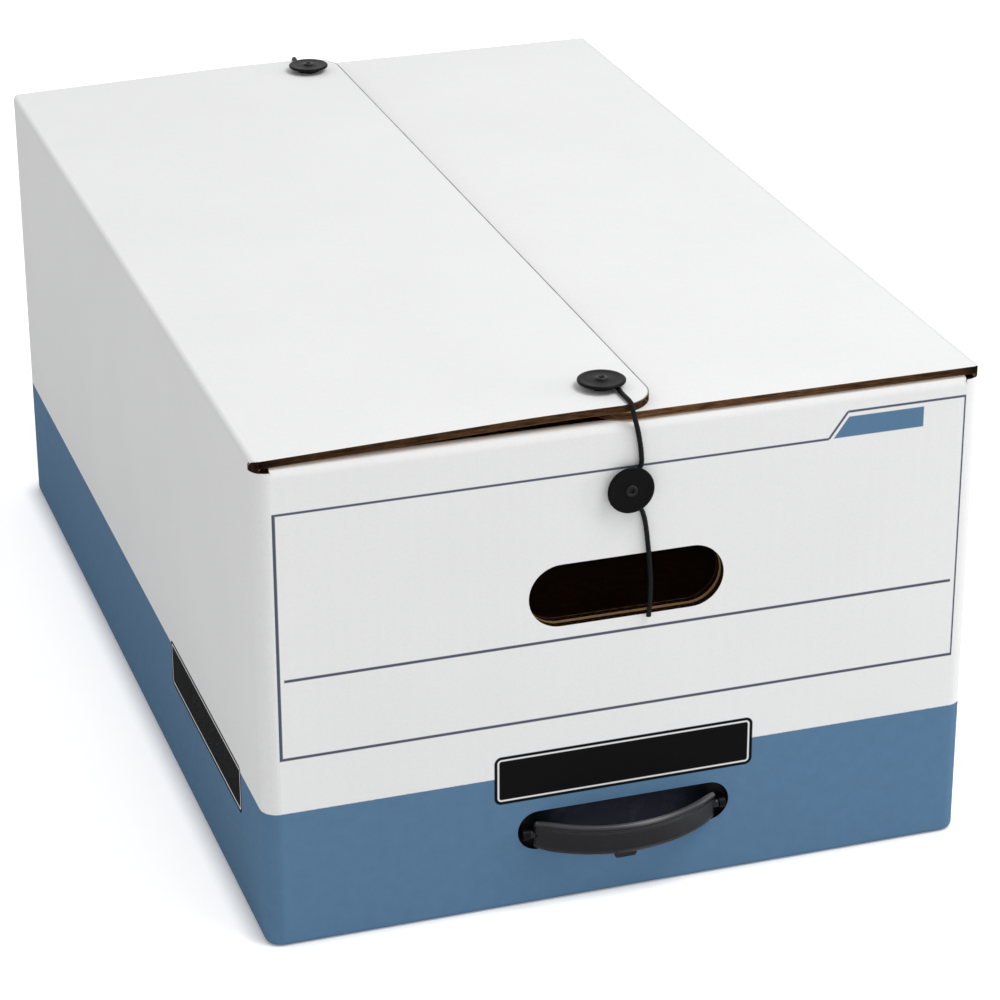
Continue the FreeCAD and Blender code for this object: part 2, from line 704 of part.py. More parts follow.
side_panel("left_side_panel", -1)
side_panel("right_side_panel", 1)
rivet_bore = Disc(0, panel_button_level, rivet_hole)
handle_slot = stadium(s.slot_level, s.slot_length, s.slot_height)
end_panel("front_end_panel", -1, [hand_hole, handle_slot, rivet_bore])
end_panel("rear_end_panel", 1, [hand_hole, rivet_bore])
for end, word in ((-1, "front"), (1, "rear")):
    inner_panel(word + "_inner_panel", end)
    hand_hole_tab(word + "_handhole_tab", end)
    bottom_flap(word + "_bottom_flap", end)
bottom_panel("bottom_outer_panel", 0)
bottom_panel("bottom_inner_panel", 1)
glue_tab()
right_top_flap()
left_top_flap()
handle_backplate()
handle_strap()
for end, word in ((-1, "front"), (1, "rear")):
    closure(word + "_panel", 0, end * half_depth, panel_button_level, -90 * end, s.board)
    closure(word + "_flap", flap_button_x, end * flap_button_y, left_flap_top, 0, s.board - clinch_stack)
string("front_string", -1, FRONT_STRING)
string("rear_string", 1, REAR_STRING)

doc.recompute()
for item in doc.Objects:
    if "Invalid" in item.State or "Error" in item.State:
        raise RuntimeError("%s failed: %s" % (item.Name, item.State))
    if item.TypeId == "PartDesign::Pocket":
        removed = item.BaseFeature.Shape.Volume - item.Shape.Volume
        if removed < 1.0:
            raise RuntimeError("%s removes nothing" % item.Name)
for item in sub_parts:
    if item.Shape.isNull() or not item.Shape.isValid() or item.Shape.Volume <= 0:
        raise RuntimeError("%s has no valid solid" % item.Label)

os.makedirs("parts", exist_ok=True)
for item in sub_parts:
    item.Shape.exportStep("parts/%s.step" % item.Label)
print("%d sub-parts" % len(sub_parts))
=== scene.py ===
import math

import bmesh
import bpy
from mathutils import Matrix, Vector


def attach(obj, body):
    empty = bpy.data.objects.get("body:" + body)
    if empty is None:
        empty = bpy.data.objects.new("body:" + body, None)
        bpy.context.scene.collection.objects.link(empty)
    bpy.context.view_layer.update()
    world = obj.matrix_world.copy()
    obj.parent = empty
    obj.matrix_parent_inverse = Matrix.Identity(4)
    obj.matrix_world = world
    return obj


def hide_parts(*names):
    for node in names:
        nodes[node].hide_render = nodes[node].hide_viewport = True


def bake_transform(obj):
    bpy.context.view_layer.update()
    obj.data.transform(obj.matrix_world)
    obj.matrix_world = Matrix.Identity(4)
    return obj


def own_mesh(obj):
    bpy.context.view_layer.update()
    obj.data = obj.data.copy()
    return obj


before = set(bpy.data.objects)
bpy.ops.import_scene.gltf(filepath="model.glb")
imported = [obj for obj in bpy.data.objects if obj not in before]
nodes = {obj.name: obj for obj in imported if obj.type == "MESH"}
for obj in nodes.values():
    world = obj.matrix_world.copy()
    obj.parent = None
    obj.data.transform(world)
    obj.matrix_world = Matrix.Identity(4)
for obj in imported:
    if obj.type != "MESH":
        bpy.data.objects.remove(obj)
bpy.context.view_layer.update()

# Camera: a long lens held a little above the box, looking down on its front left corner, as a catalogue
# picture of a storage box is taken.
def add_object(name, data):
    made = bpy.data.objects.new(name, data)
    bpy.context.scene.collection.objects.link(made)
    return made


camera_data = bpy.data.cameras.new("camera")
camera_data.lens = 122.08
camera_data.sensor_width = 36.0
camera_data.clip_end = 50.0
camera = add_object("camera", camera_data)
camera.location = (-0.5443, -1.7600, 0.9351)
camera.rotation_euler = (math.radians(65.435), math.radians(0.191), math.radians(-18.234))
bpy.context.scene.camera = camera


# Strings: black waxed cotton cord, three strands laid right-handed. Each is tied round the hub of its button
# on the left flap, crosses the flap's end and is wound once round the button below, and its tail hangs free.
# The waxed tip is pressed flat and fans out a little.
STRING_DIAMETER, STRING_LAY, STRING_STRANDS = 0.0025, 0.0085, 3
STRING_SIDES, STRING_STEP = 30, 0.0006
STRAND_VALLEY, STRAND_BULGE = 0.94, 0.10
FANNED_LENGTH, FANNED_SPREAD, FANNED_FLATNESS = 0.005, 0.12, 0.22
END_FACE = 0.3064
BOX_TOP = 0.2731
LEFT_FLAP_TOP = 0.2774
# Each point of a route is (x, out from the end's face, up from the box's top).
FRONT_ROUTE = (
    (-0.0016, -0.0224, 0.00585), (-0.0050, -0.0204, 0.00585), (-0.01105, -0.0239, 0.00585),
    (-0.01105, -0.0309, 0.00585), (-0.0050, -0.0344, 0.00585), (0.00105, -0.0309, 0.00585),
    (0.0013, -0.0220, 0.00585), (0.0004, -0.0120, 0.00585), (0.0010, -0.0022, 0.00585),
    (0.0012, 0.0008, 0.0043), (0.0014, 0.0016, 0.0013), (0.0043, 0.00155, -0.0096),
    (0.0060, 0.0016, -0.0200), (0.0066, 0.00155, -0.0294), (0.0003, 0.00155, -0.0326),
    (-0.0062, 0.00155, -0.0364), (-0.0062, 0.00155, -0.0438), (0.0, 0.00155, -0.0474),
    (0.0059, 0.00155, -0.0506), (0.0084, 0.0016, -0.0576), (0.0098, 0.0017, -0.0674),
    (0.0114, 0.0016, -0.0826), (0.0124, 0.0016, -0.0986), (0.0113, 0.0017, -0.1134),
)
REAR_ROUTE = (
    (-0.0084, -0.0224, 0.00585), (-0.0050, -0.0204, 0.00585), (0.00105, -0.0239, 0.00585),
    (0.00105, -0.0309, 0.00585), (-0.0050, -0.0344, 0.00585), (-0.01105, -0.0309, 0.00585),
    (-0.0110, -0.0220, 0.00585), (-0.0088, -0.0120, 0.00585), (-0.0076, -0.0022, 0.00585),
    (-0.0074, 0.0008, 0.0043), (-0.0073, 0.0016, 0.0013), (-0.0074, 0.00155, -0.0096),
    (-0.0071, 0.0016, -0.0200), (-0.0066, 0.00155, -0.0294), (-0.0003, 0.00155, -0.0326),
    (0.0062, 0.00155, -0.0364), (0.0062, 0.00155, -0.0438), (0.0, 0.00155, -0.0474),
    (-0.0059, 0.00155, -0.0506), (-0.0076, 0.0016, -0.0572), (-0.0084, 0.0017, -0.0672),
    (-0.0099, 0.0016, -0.0822), (-0.0102, 0.0016, -0.0980), (-0.0116, 0.0017, -0.1126),
)


def route_line(name, route, end):
    """The points that a smooth spline through the route's own points gives."""
    curve = bpy.data.curves.new(name, "CURVE")
    curve.dimensions = "3D"
    curve.resolution_u = 24
    spline = curve.splines.new("NURBS")
    spline.points.add(len(route) - 1)
    for point, (x, out, up) in zip(spline.points, route):
        point.co = (x, end * (END_FACE + out), BOX_TOP + up, 1.0)
    spline.order_u = 3
    spline.use_endpoint_u = True
    holder = bpy.data.objects.new(name, curve)
    line = bpy.data.meshes.new_from_object(holder)
    points = [vertex.co.copy() for vertex in line.vertices]
    bpy.data.objects.remove(holder)
    return points


def even_steps(points, step):
    """The same line with its points about one step apart."""
    total = sum((b - a).length for a, b in zip(points, points[1:]))
    count = round(total / step)
    spaced = [points[0].copy()]
    walked, number = 0.0, 0
    for index in range(1, count):
        target = total * index / count
        while walked + (points[number + 1] - points[number]).length < target:
            walked += (points[number + 1] - points[number]).length
            number += 1
        run = points[number + 1] - points[number]
        spaced.append(points[number] + run * ((target - walked) / run.length))
    spaced.append(points[-1].copy())
    return spaced


def laid_cord(name, line, radius, sides):
    """A closed tube with its strands' lobes wound round it. U runs round it and V along it, in metres."""
    vertices, faces = [], []
    lengths = [0.0]
    for before, after in zip(line, line[1:]):
        lengths.append(lengths[-1] + (after - before).length)
    across = (line[1] - line[0]).cross(Vector((0.0, 0.0, 1.0))).normalized()
    tip = len(line) - 1
    for number, point in enumerate(line):
        ahead = (line[min(number + 1, tip)] - line[max(number - 1, 0)]).normalized()
        across = (across - ahead * across.dot(ahead)).normalized()
        up = ahead.cross(across)
        fan = max(0.0, 1.0 - (lengths[-1] - lengths[number]) / FANNED_LENGTH)
        for side in range(sides):
            angle = 2 * math.pi * side / sides
            lobe = abs(math.cos(0.5 * STRING_STRANDS * (angle - 2 * math.pi * lengths[number] / STRING_LAY)))
            size = radius * (STRAND_VALLEY + STRAND_BULGE * lobe ** 0.6)
            offset = across * (math.cos(angle) * size * (1 + FANNED_SPREAD * fan))
            offset += up * (math.sin(angle) * size * (1 - FANNED_FLATNESS * fan))
            vertices.append(point + offset)
    last_ring = tip * sides
    start_middle, end_middle = len(vertices), len(vertices) + 1
    vertices.append(line[0] - (line[1] - line[0]).normalized() * radius * 0.3)
    vertices.append(line[-1] + (line[-1] - line[-2]).normalized() * radius * 0.3)
    for side in range(sides):
        following = (side + 1) % sides
        faces += [(first + side, first + following, first + sides + following, first + sides + side)
                  for first in range(0, last_ring, sides)]
        faces.append((start_middle, following, side))
        faces.append((end_middle, last_ring + side, last_ring + following))
    mesh = bpy.data.meshes.new(name)
    mesh.from_pydata([tuple(vertex) for vertex in vertices], [], faces)
    layer = mesh.uv_layers.new(name="along")
    for polygon in mesh.polygons:
        polygon.use_smooth = True
        for loop in polygon.loop_indices:
            vertex = mesh.loops[loop].vertex_index
            layer.data[loop].uv = ((vertex % sides) / sides, lengths[min(vertex // sides, tip)])
    return add_object(name, mesh)


def add_node(tree, kind, inputs=None, **settings):
    """A node in a tree. Each input, by name or number, is a plain value or the socket that feeds it."""
    made = tree.nodes.new(kind)
    for name, value in settings.items():
        setattr(made, name, value)
    for key, value in (inputs or {}).items():
        value = value.socket if isinstance(value, Signal) else value
        if isinstance(value, bpy.types.NodeSocket):
            tree.links.new(value, made.inputs[key])
        else:
            made.inputs[key].default_value = value
    return made


class Signal:
    """What a node puts out, to be added to or multiplied by numbers and other signals."""

    def __init__(self, socket):
        self.socket, self.tree = socket, socket.id_data

    def __add__(self, other):
        return reckon("ADD", self, other)

    def __sub__(self, other):
        return reckon("SUBTRACT", self, other)

    def __rsub__(self, other):
        return reckon("SUBTRACT", other, self)

    def __mul__(self, other):
        return reckon("MULTIPLY", self, other)

    def __truediv__(self, other):
        return reckon("DIVIDE", self, other)

    def __abs__(self):
        return reckon("ABSOLUTE", self)


def derived(kind, inputs, output=0, **settings):
    """What a new node puts out, in the tree of the signals that feed it."""
    tree = next(value.tree for value in inputs.values() if isinstance(value, Signal))
    return Signal(add_node(tree, kind, inputs, **settings).outputs[output])


def reckon(operation, *terms):
    return derived("ShaderNodeMath", dict(enumerate(terms)), operation=operation)


def map_range(value, start, finish, low, high):
    return derived("ShaderNodeMapRange", {"Value": value, "From Min": start, "From Max": finish,
                                          "To Min": low, "To Max": high})


def noise(place, scale, detail=2.0, roughness=0.5):
    return derived("ShaderNodeTexNoise", {"Vector": place, "Scale": scale,
                                          "Detail": detail, "Roughness": roughness})


def start_material(name):
    """A material, and the object's own coordinates in it."""
    material = bpy.data.materials.new(name)
    material.use_nodes = True
    coordinates = add_node(material.node_tree, "ShaderNodeTexCoord")
    return material, Signal(coordinates.outputs["Object"])


def finish_material(material, colour, roughness, height, strength, distance, shine=0.5):
    """Feeds the material's own shader."""
    shader = material.node_tree.nodes["Principled BSDF"]
    normal = derived("ShaderNodeBump", {"Height": height, "Strength": strength, "Distance": distance})
    for label, signal in (("Base Color", colour), ("Roughness", roughness), ("Normal", normal)):
        material.node_tree.links.new(signal.socket, shader.inputs[label])
    shader.inputs["Specular IOR Level"].default_value = shine
    return material


def string_material():
    """Waxed black cotton: fine fibres that follow the lay, and a dull shine where the wax is rubbed."""
    material, position = start_material("waxed_string")
    uv = Signal(add_node(material.node_tree, "ShaderNodeUVMap", uv_map="along").outputs["UV"])
    stretched = derived("ShaderNodeMapping", {"Vector": uv, "Scale": (9.0, 900.0, 1.0),
                                              "Rotation": (0.0, 0.0, 0.35)})
    fibre = noise(stretched, 3.0, 3.0)
    ramp = add_node(material.node_tree, "ShaderNodeValToRGB", {"Fac": fibre})
    for stop, place, colour in zip(ramp.color_ramp.elements, (0.3, 0.8),
                                   ((0.002, 0.002, 0.002, 1.0), (0.012, 0.012, 0.013, 1.0))):
        stop.position, stop.color = place, colour
    roughness = map_range(noise(position, 160.0), 0.3, 0.7, 0.42, 0.68)
    return finish_material(material, Signal(ramp.outputs["Color"]), roughness, fibre, 0.5, 0.0002, shine=0.12)


waxed_string = string_material()
for end, word, route in ((-1, "front", FRONT_ROUTE), (1, "rear", REAR_ROUTE)):
    line = even_steps(route_line(word + "_string_route", route, end), STRING_STEP)
    cord_piece = laid_cord(word + "_tied_string", line, STRING_DIAMETER / 2, STRING_SIDES)
    cord_piece.data.materials.append(waxed_string)
    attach(cord_piece, "left_flap")
    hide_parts(word + "_string")
    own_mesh(cord_piece)


# Corrugated board: a wave of brown kraft paper between two liners. The outer liner has a white printed face,
# the inner one is bare kraft, and every cut edge shows the brown wave. The print is flexo ink, a slate blue
# foot all round and a ruled writing frame on the ends.
FLUTE_PITCH = 0.0078
BOARD = 0.004
WHITE_TOP = (0.835, 0.836, 0.840, 1.0)
KRAFT = (0.430, 0.262, 0.135, 1.0)
CUT_KRAFT = (0.165, 0.082, 0.038, 1.0)
# CUT_HOLLOW is painted shade: the dark inside of the open flutes, which the flat cut faces do not model.
CUT_HOLLOW = (0.010, 0.005, 0.003, 1.0)
BLUE_INK = (0.104, 0.203, 0.328, 1.0)
LINE_INK = (0.092, 0.104, 0.143, 1.0)
PLATE_INK = (0.006, 0.0056, 0.0056, 1.0)
BAND_TOP, BAND_RAGGEDNESS = 0.0778, 0.0003
PLATE_HALF_HEIGHT, PLATE_CORNER = 0.0140, 0.004
KEYLINE_INSET, KEYLINE_HALF_WIDTH = 0.0022, 0.00045
PRINT_SOFTNESS = 0.0003
# Soft limits, as shares of the board's thickness and of how far a face looks outwards.
WAVE_PAPER, LINER_PAPER = (0.07, 0.17), (0.38, 0.45)
LOOKS_OUT, LOOKS_ACROSS = (0.22, 0.34), (-0.55, -0.40)


def start_group(name, inputs, outputs):
    """A shader node group with named sockets: itself, and its inputs as signals by name."""
    group = bpy.data.node_groups.new(name, "ShaderNodeTree")
    for label, kind, value in inputs:
        socket = group.interface.new_socket(name=label, in_out="INPUT", socket_type="NodeSocket" + kind)
        if value is not None:
            socket.default_value = value
    for label, kind in outputs:
        group.interface.new_socket(name=label, in_out="OUTPUT", socket_type="NodeSocket" + kind)
    given = add_node(group, "NodeGroupInput")
    return group, {label: Signal(given.outputs[label]) for label, kind, value in inputs}


def finish_group(group, **outputs):
    add_node(group, "NodeGroupOutput", outputs)
    return group


def mix_colours(factor, first, second):
    return derived("ShaderNodeMix", {0: factor, 6: first, 7: second}, output=2, data_type="RGBA")


def mix_values(factor, first, second):
    return derived("ShaderNodeMix", {0: factor, 2: first, 3: second})


def shaded(colour, shade):
    """A colour made lighter or darker by a shade about 1."""
    plain = colour[:3] if isinstance(colour, tuple) else colour
    return derived("ShaderNodeVectorMath", {0: plain, "Scale": shade}, operation="SCALE")


def flat_vector(x, y):
    return derived("ShaderNodeCombineXYZ", {0: x, 1: y})


def parts(vector):
    """The three parts of a vector."""
    split = add_node(vector.tree, "ShaderNodeSeparateXYZ", {0: vector})
    return [Signal(socket) for socket in split.outputs]


def soft_step(value, start, finish):
    return derived("ShaderNodeMapRange", {"Value": value, "From Min": start, "From Max": finish},
                   interpolation_type="SMOOTHSTEP")


def largest(first, second):
    return reckon("MAXIMUM", first, second)


def smallest(first, second):
    return reckon("MINIMUM", first, second)


def sign(value):
    return reckon("SIGN", value)


def beyond(value, limit):
    """How far a value is past a limit, on either side of zero."""
    return largest(abs(value) - limit, 0.0)


def diagonal(first, second):
    return reckon("SQRT", first * first + second * second)


def scaled(value, start, length):
    return (value - start) / length


def inside(distance):
    """1 where a distance in metres is above zero, with a soft edge."""
    return soft_step(distance, -PRINT_SOFTNESS, PRINT_SOFTNESS)


def board_group():
    """How a face of the board looks, from how far it looks outwards and where it is cut."""
    group, given = start_group("corrugated_board", (
        ("Position", "Vector", None), ("Outward", "Float", 1.0), ("Through", "Float", 1.0),
        ("Across", "Float", 0.0), ("Mouth", "Float", 0.0), ("Cut Shade", "Float", 1.0),
        ("Ink", "Color", WHITE_TOP), ("Inked", "Float", 0.0)),
        (("Color", "Color"), ("Roughness", "Float"), ("Height", "Float")))
    position, through, mouth = given["Position"], given["Through"], given["Mouth"]
    cloud = noise(position, 11.0, 3.0)
    fibre = noise(position, 620.0, 4.0)
    speck = noise(position, 190.0, 6.0, 0.7)
    white_shade = map_range(cloud, 0.3, 0.7, 0.982, 1.008) * map_range(fibre, 0.25, 0.75, 0.975, 1.015)
    outer = shaded(mix_colours(given["Inked"], WHITE_TOP, given["Ink"]), white_shade)
    kraft_face = shaded(KRAFT, map_range(speck, 0.25, 0.75, 0.80, 1.14))

    turns = given["Across"] / FLUTE_PITCH
    zigzag = reckon("PINGPONG", turns * 2.0, 1.0)
    wave = 1.0 - soft_step(abs(through - zigzag), *WAVE_PAPER)
    liner = soft_step(abs(through - 0.5), *LINER_PAPER)
    streaked = derived("ShaderNodeVectorMath", {0: through, 1: (0.02, 0.03, 0.04), 2: position},
                       operation="MULTIPLY_ADD")
    crushed = (1.0 - mouth) * soft_step(noise(streaked, 90.0, 6.0, 0.7), 0.25, 0.80)
    paper = largest(largest(wave * mouth, liner), crushed)
    # Cut Shade carries the painted light and shade that some pieces give their cut faces.
    cut_shade = map_range(speck, 0.2, 0.8, 0.6, 1.4) * given["Cut Shade"]
    cut_face = shaded(mix_colours(paper, CUT_HOLLOW, CUT_KRAFT), cut_shade)

    is_outer = soft_step(given["Outward"], *LOOKS_OUT)
    is_cut = soft_step(given["Outward"], *LOOKS_ACROSS)
    colour = mix_colours(is_outer, mix_colours(is_cut, kraft_face, cut_face), outer)
    roughness = mix_values(is_outer, 0.88, map_range(cloud, 0.3, 0.7, 0.60, 0.68))
    washboard = reckon("SINE", turns * (2 * math.pi))
    height = mix_values(is_outer, speck * 0.5, washboard * 0.06 + fibre * 0.10)
    return finish_group(group, Color=colour, Roughness=roughness, Height=height)


def rule_mask(along, off, start, finish, width):
    """A ruled line on off = 0 from start to finish."""
    within = (finish - start) / 2 - abs(along - (start + finish) / 2)
    return inside(smallest(within, width / 2 - abs(off)))


def foot_print_group():
    """The print round the foot of the box: the blue band with a plain black plate across its top edge."""
    group, given = start_group("foot_print", (
        ("Across", "Float", 0.0), ("Up", "Float", 0.0), ("Plate Middle", "Float", 0.0),
        ("Plate Level", "Float", 0.0765), ("Plate Half Length", "Float", 0.0715), ("Plated", "Float", 1.0)),
        (("Color", "Color"), ("Inked", "Float")))
    up = given["Up"]
    ragged = derived("ShaderNodeTexNoise", {"W": given["Across"], "Scale": 420.0}, noise_dimensions="1D")
    band = inside((ragged * BAND_RAGGEDNESS + BAND_TOP) - up)
    x = abs(given["Across"] - given["Plate Middle"]) - (given["Plate Half Length"] - PLATE_CORNER)
    z = abs(up - given["Plate Level"]) - (PLATE_HALF_HEIGHT - PLATE_CORNER)
    depth = PLATE_CORNER - diagonal(largest(x, 0.0), largest(z, 0.0))
    plate = inside(depth) * given["Plated"]
    keyline = inside(KEYLINE_HALF_WIDTH - abs(depth - KEYLINE_INSET))
    cover = map_range(noise(flat_vector(given["Across"], up), 140.0, 3.0), 0.3, 0.7, 0.97, 1.03)
    colour = mix_colours(plate, shaded(BLUE_INK, cover), mix_colours(keyline, PLATE_INK, WHITE_TOP))
    return finish_group(group, Color=colour, Inked=largest(band, plate))


board_look = board_group()
foot_print = foot_print_group()


def printed_foot(inputs):
    """The colour and the cover of the print round the foot."""
    foot = add_node(inputs["Up"].tree, "ShaderNodeGroup", inputs, node_tree=foot_print)
    return Signal(foot.outputs["Color"]), Signal(foot.outputs["Inked"])


def place_look(material, look, given):
    """A shared look placed in a material: its colour, roughness and height."""
    placed = add_node(material.node_tree, "ShaderNodeGroup", given, node_tree=look)
    return [Signal(placed.outputs[label]) for label in ("Color", "Roughness", "Height")]


def board_material(name, lay_out, printed=None):
    """A board material. lay_out gives Outward, Through, Across, Mouth and Cut Shade for a piece."""
    material, position = start_material(name)
    place, facing = parts(position), parts(Signal(position.socket.node.outputs["Normal"]))
    given = dict(zip(("Outward", "Through", "Across", "Mouth", "Cut Shade"), lay_out(place, facing)))
    given["Position"] = position
    if printed:
        given["Ink"], given["Inked"] = printed(place)
    return finish_material(material, *place_look(material, board_look, given), 0.35, 0.0006, shine=0.03)


def dress(material, *names):
    for name in names:
        for material_slot in nodes[name].material_slots:
            material_slot.material = material


# Side walls: one panel each side, creased over at the corners into the end plies and at the top into a flap.
# The flutes stand upright. Outside is printed, inside is kraft.
CORNER_X, CORNER_Y = 0.1847, 0.2974
CORNER_RADIUS, FOLD_RADIUS = 0.009, 0.003
FOOT_LEVELS = (0.0002, 0.0006, 0.0011, 0.0018, FOLD_RADIUS)
LEFT_FACE = (-0.1930, -0.1934)
WALL_PLATE = {"Plate Middle": -0.179, "Plate Level": 0.0665, "Plate Half Length": 0.0785}


def wall_layout(place, facing):
    x, y = place[:2]
    off_x, off_y = beyond(x, CORNER_X), beyond(y, CORNER_Y)
    distance = diagonal(off_x, off_y)
    outward = (off_x * sign(x) * facing[0] + off_y * sign(y) * facing[1]) / distance
    return outward, scaled(distance, CORNER_RADIUS - BOARD, BOARD), y + off_y * 0.6, abs(facing[2]), 1.0


def wall_print(place):
    """The blue foot, with its plate on the left wall's outer face."""
    on_left = soft_step(place[0], *LEFT_FACE)
    return printed_foot({"Across": place[1], "Up": place[2], "Plated": on_left, **WALL_PLATE})


def eased_copy(name, cuts, move):
    """A merged copy of a CAD mesh, cut on some planes so that its vertices can be moved."""
    edit = bmesh.new()
    edit.from_mesh(nodes[name].data)
    edit.transform(nodes[name].matrix_world)
    bmesh.ops.remove_doubles(edit, verts=edit.verts, dist=1e-6)
    for point, direction in cuts:
        everything = list(edit.verts) + list(edit.edges) + list(edit.faces)
        bmesh.ops.bisect_plane(edit, geom=everything, plane_co=point, plane_no=direction)
    for vertex in edit.verts:
        move(vertex.co)
    bmesh.ops.dissolve_degenerate(edit, edges=edit.edges, dist=1e-5)
    mesh = bpy.data.meshes.new(name + "_eased")
    edit.to_mesh(mesh)
    edit.free()
    if "custom_normal" in mesh.attributes:
        mesh.attributes.remove(mesh.attributes["custom_normal"])
    for polygon in mesh.polygons:
        polygon.use_smooth = max(abs(part) for part in polygon.normal) < 0.9999
    mesh.set_sharp_from_angle(angle=math.radians(35))
    return add_object(name + "_eased", mesh)


def ease_post_foot(place):
    """Rounds the foot of the corner posts like the folds beside them."""
    off_x, off_y = abs(place.x) - CORNER_X, abs(place.y) - CORNER_Y
    reach = math.hypot(off_x, off_y)
    if place.z < FOLD_RADIUS and off_y > -1e-5 and off_x > -1e-5:
        below = FOLD_RADIUS - max(0.0, place.z)
        inset = FOLD_RADIUS - math.sqrt(FOLD_RADIUS ** 2 - below ** 2)
        kept = min(1.0, (CORNER_RADIUS - inset) / reach)
        place.x = math.copysign(CORNER_X + off_x * kept, place.x)
        place.y = math.copysign(CORNER_Y + off_y * kept, place.y)


printed_wall = board_material("printed_side_wall", wall_layout, wall_print)
for name in ("left_side_panel", "right_side_panel"):
    wall = eased_copy(name, [((0.0, 0.0, level), (0.0, 0.0, 1.0)) for level in FOOT_LEVELS], ease_post_foot)
    wall.data.materials.append(printed_wall)
    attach(wall, "box")
    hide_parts(name)


# Ends: the outer ply rolls over at the top and comes down inside as a second ply, so that the white face
# shows inside too. The outside has a ruled frame to write in. In front, a blank blue tab stands in its upper
# right corner.
ROLL_Y, ROLL_LEVEL, ROLL_INNER_RADIUS = 0.3012, 0.2636, 0.0012
# ROLL_RIM: how far from the roll's middle a cut face goes from lit to painted shade.
ROLL_RIM, PRINTED_FACE, PRINTED_FOOT = (0.0042, 0.0049), (0.3055, 0.3060), (0.0036, 0.0030)
# Each line is (direction, its level or place, start, finish, width), seen from outside.
FRAME_LINES = (
    ("level", 0.2442, -0.1850, 0.1087, 0.0013),
    ("level", 0.2580, 0.1188, 0.1858, 0.0013),
    ("level", 0.1530, -0.1810, 0.1815, 0.0016),
    ("level", 0.1090, -0.1850, 0.1858, 0.0016),
    ("upright", -0.1840, 0.1082, 0.2448, 0.0020),
    ("upright", 0.1848, 0.1082, 0.2586, 0.0020),
)
SLANT_FOOT, SLANT_HEAD, SLANT_WIDTH = Vector((0.1087, 0.2442)), Vector((0.1188, 0.2580)), 0.0013
TAB_GAP, TAB_RIGHT, TAB_LOW, TAB_HIGH = 0.0022, 0.1612, 0.2441, 0.2552


def end_layout(place, facing):
    x, y, z = place
    off_y = abs(y) - ROLL_Y
    off_z = largest(z - ROLL_LEVEL, 0.0)
    distance = diagonal(off_y, off_z)
    outward = (off_y * sign(y) * facing[1] + off_z * facing[2]) / distance
    mouth = abs(facing[2]) * (1.0 - soft_step(z, ROLL_LEVEL - 0.001, ROLL_LEVEL))
    # Painted shade: cut faces deeper than the outer liner of either ply darken to 0.2, as the hand hole and
    # the slot are dark inside.
    cut_shade = largest(soft_step(distance, *ROLL_RIM), 0.2)
    return outward, scaled(distance, ROLL_INNER_RADIUS, BOARD), x, mouth, cut_shade


def end_print(place):
    x, y, z = place
    outside_ply = largest(soft_step(abs(y), *PRINTED_FACE), soft_step(z, *PRINTED_FOOT))
    in_front = reckon("LESS_THAN", y, 0.0)
    to_right = x * (sign(y) * -1.0)
    foot, foot_cover = printed_foot({"Across": to_right, "Up": z, "Plated": in_front})
    slant = (SLANT_HEAD - SLANT_FOOT).normalized()
    from_x, from_z = to_right - SLANT_FOOT.x, z - SLANT_FOOT.y
    slant_along, slant_off = from_x * slant.x + from_z * slant.y, from_x * slant.y - from_z * slant.x
    ruled = rule_mask(slant_along, slant_off, 0.0, (SLANT_HEAD - SLANT_FOOT).length, SLANT_WIDTH)
    for kind, level, start, finish, width in FRAME_LINES:
        along, up = (to_right, z) if kind == "level" else (z, to_right)
        ruled = largest(ruled, rule_mask(along, up - level, start, finish, width))
    tab_sides = smallest(slant_off - TAB_GAP, TAB_RIGHT - to_right)
    tab = inside(smallest(tab_sides, smallest(z - TAB_LOW, TAB_HIGH - z))) * in_front
    above_band = mix_colours(foot_cover, mix_colours(largest(foot_cover, tab), LINE_INK, BLUE_INK), foot)
    return above_band, largest(largest(ruled, tab), foot_cover) * outside_ply


dress(board_material("printed_end", end_layout, end_print), "front_end_panel", "rear_end_panel")
dress(board_material("inner_end_ply", end_layout), "front_inner_panel", "rear_inner_panel")


# Hand hole tabs: the piece die-cut from the hole stays on a crease along its top and is folded in and up, so
# that its kraft back looks into the box.
TAB_LEAN = math.radians(15.0)
TAB_CREASE_Y, TAB_CREASE_LEVEL = 0.296, 0.19535


def tab_layout(place, facing):
    x, y, z = place
    depth = (abs(y) - TAB_CREASE_Y) * math.cos(TAB_LEAN) + (z - TAB_CREASE_LEVEL) * math.sin(TAB_LEAN)
    return facing[1] * sign(y), depth / BOARD + 1.0, x, abs(facing[2]), 1.0


dress(board_material("folded_tab", tab_layout), "front_handhole_tab", "rear_handhole_tab")


# Bottom: a ply from each wall, one on the other, and the feet of the two rolled ends on top of them. The feet
# show the white face, and the plies show kraft inside the box and white under it.
WALL_INSIDE = -0.1857
UNDER_FLOOR = -0.00001


def foot_layout(place, facing):
    return facing[2], scaled(place[2], 2 * BOARD, BOARD), place[0], abs(facing[1]), 1.0


def bottom_layout(place, facing):
    through = reckon("FRACT", scaled(place[2], UNDER_FLOOR, -BOARD))
    return facing[2] * -1.0, through, place[1], abs(facing[0]), 1.0


def glue_tab_layout(place, facing):
    return facing[0] * -1.0, scaled(place[0], WALL_INSIDE, -BOARD), place[1], abs(facing[2]), 1.0


dress(board_material("end_foot", foot_layout), "front_bottom_flap", "rear_bottom_flap")
dress(board_material("bottom_ply", bottom_layout), "bottom_outer_panel", "bottom_inner_panel")
dress(board_material("glued_joint", glue_tab_layout), "glue_tab")


# Top flaps: white above and kraft below. Their flutes run from the fold to the free edge, where the mouths of
# the flutes are open, and along the ends the cut shows the side of one flute.
FLAP_EDGE, FLAP_END, FLAP_CORNER = 0.017, 0.3049, 0.020
FLAP_UNDERSIDE, LAP_CLIMB, LAP_START, LAP_RISE = 0.2691, 0.0297, 0.1897, 0.0043
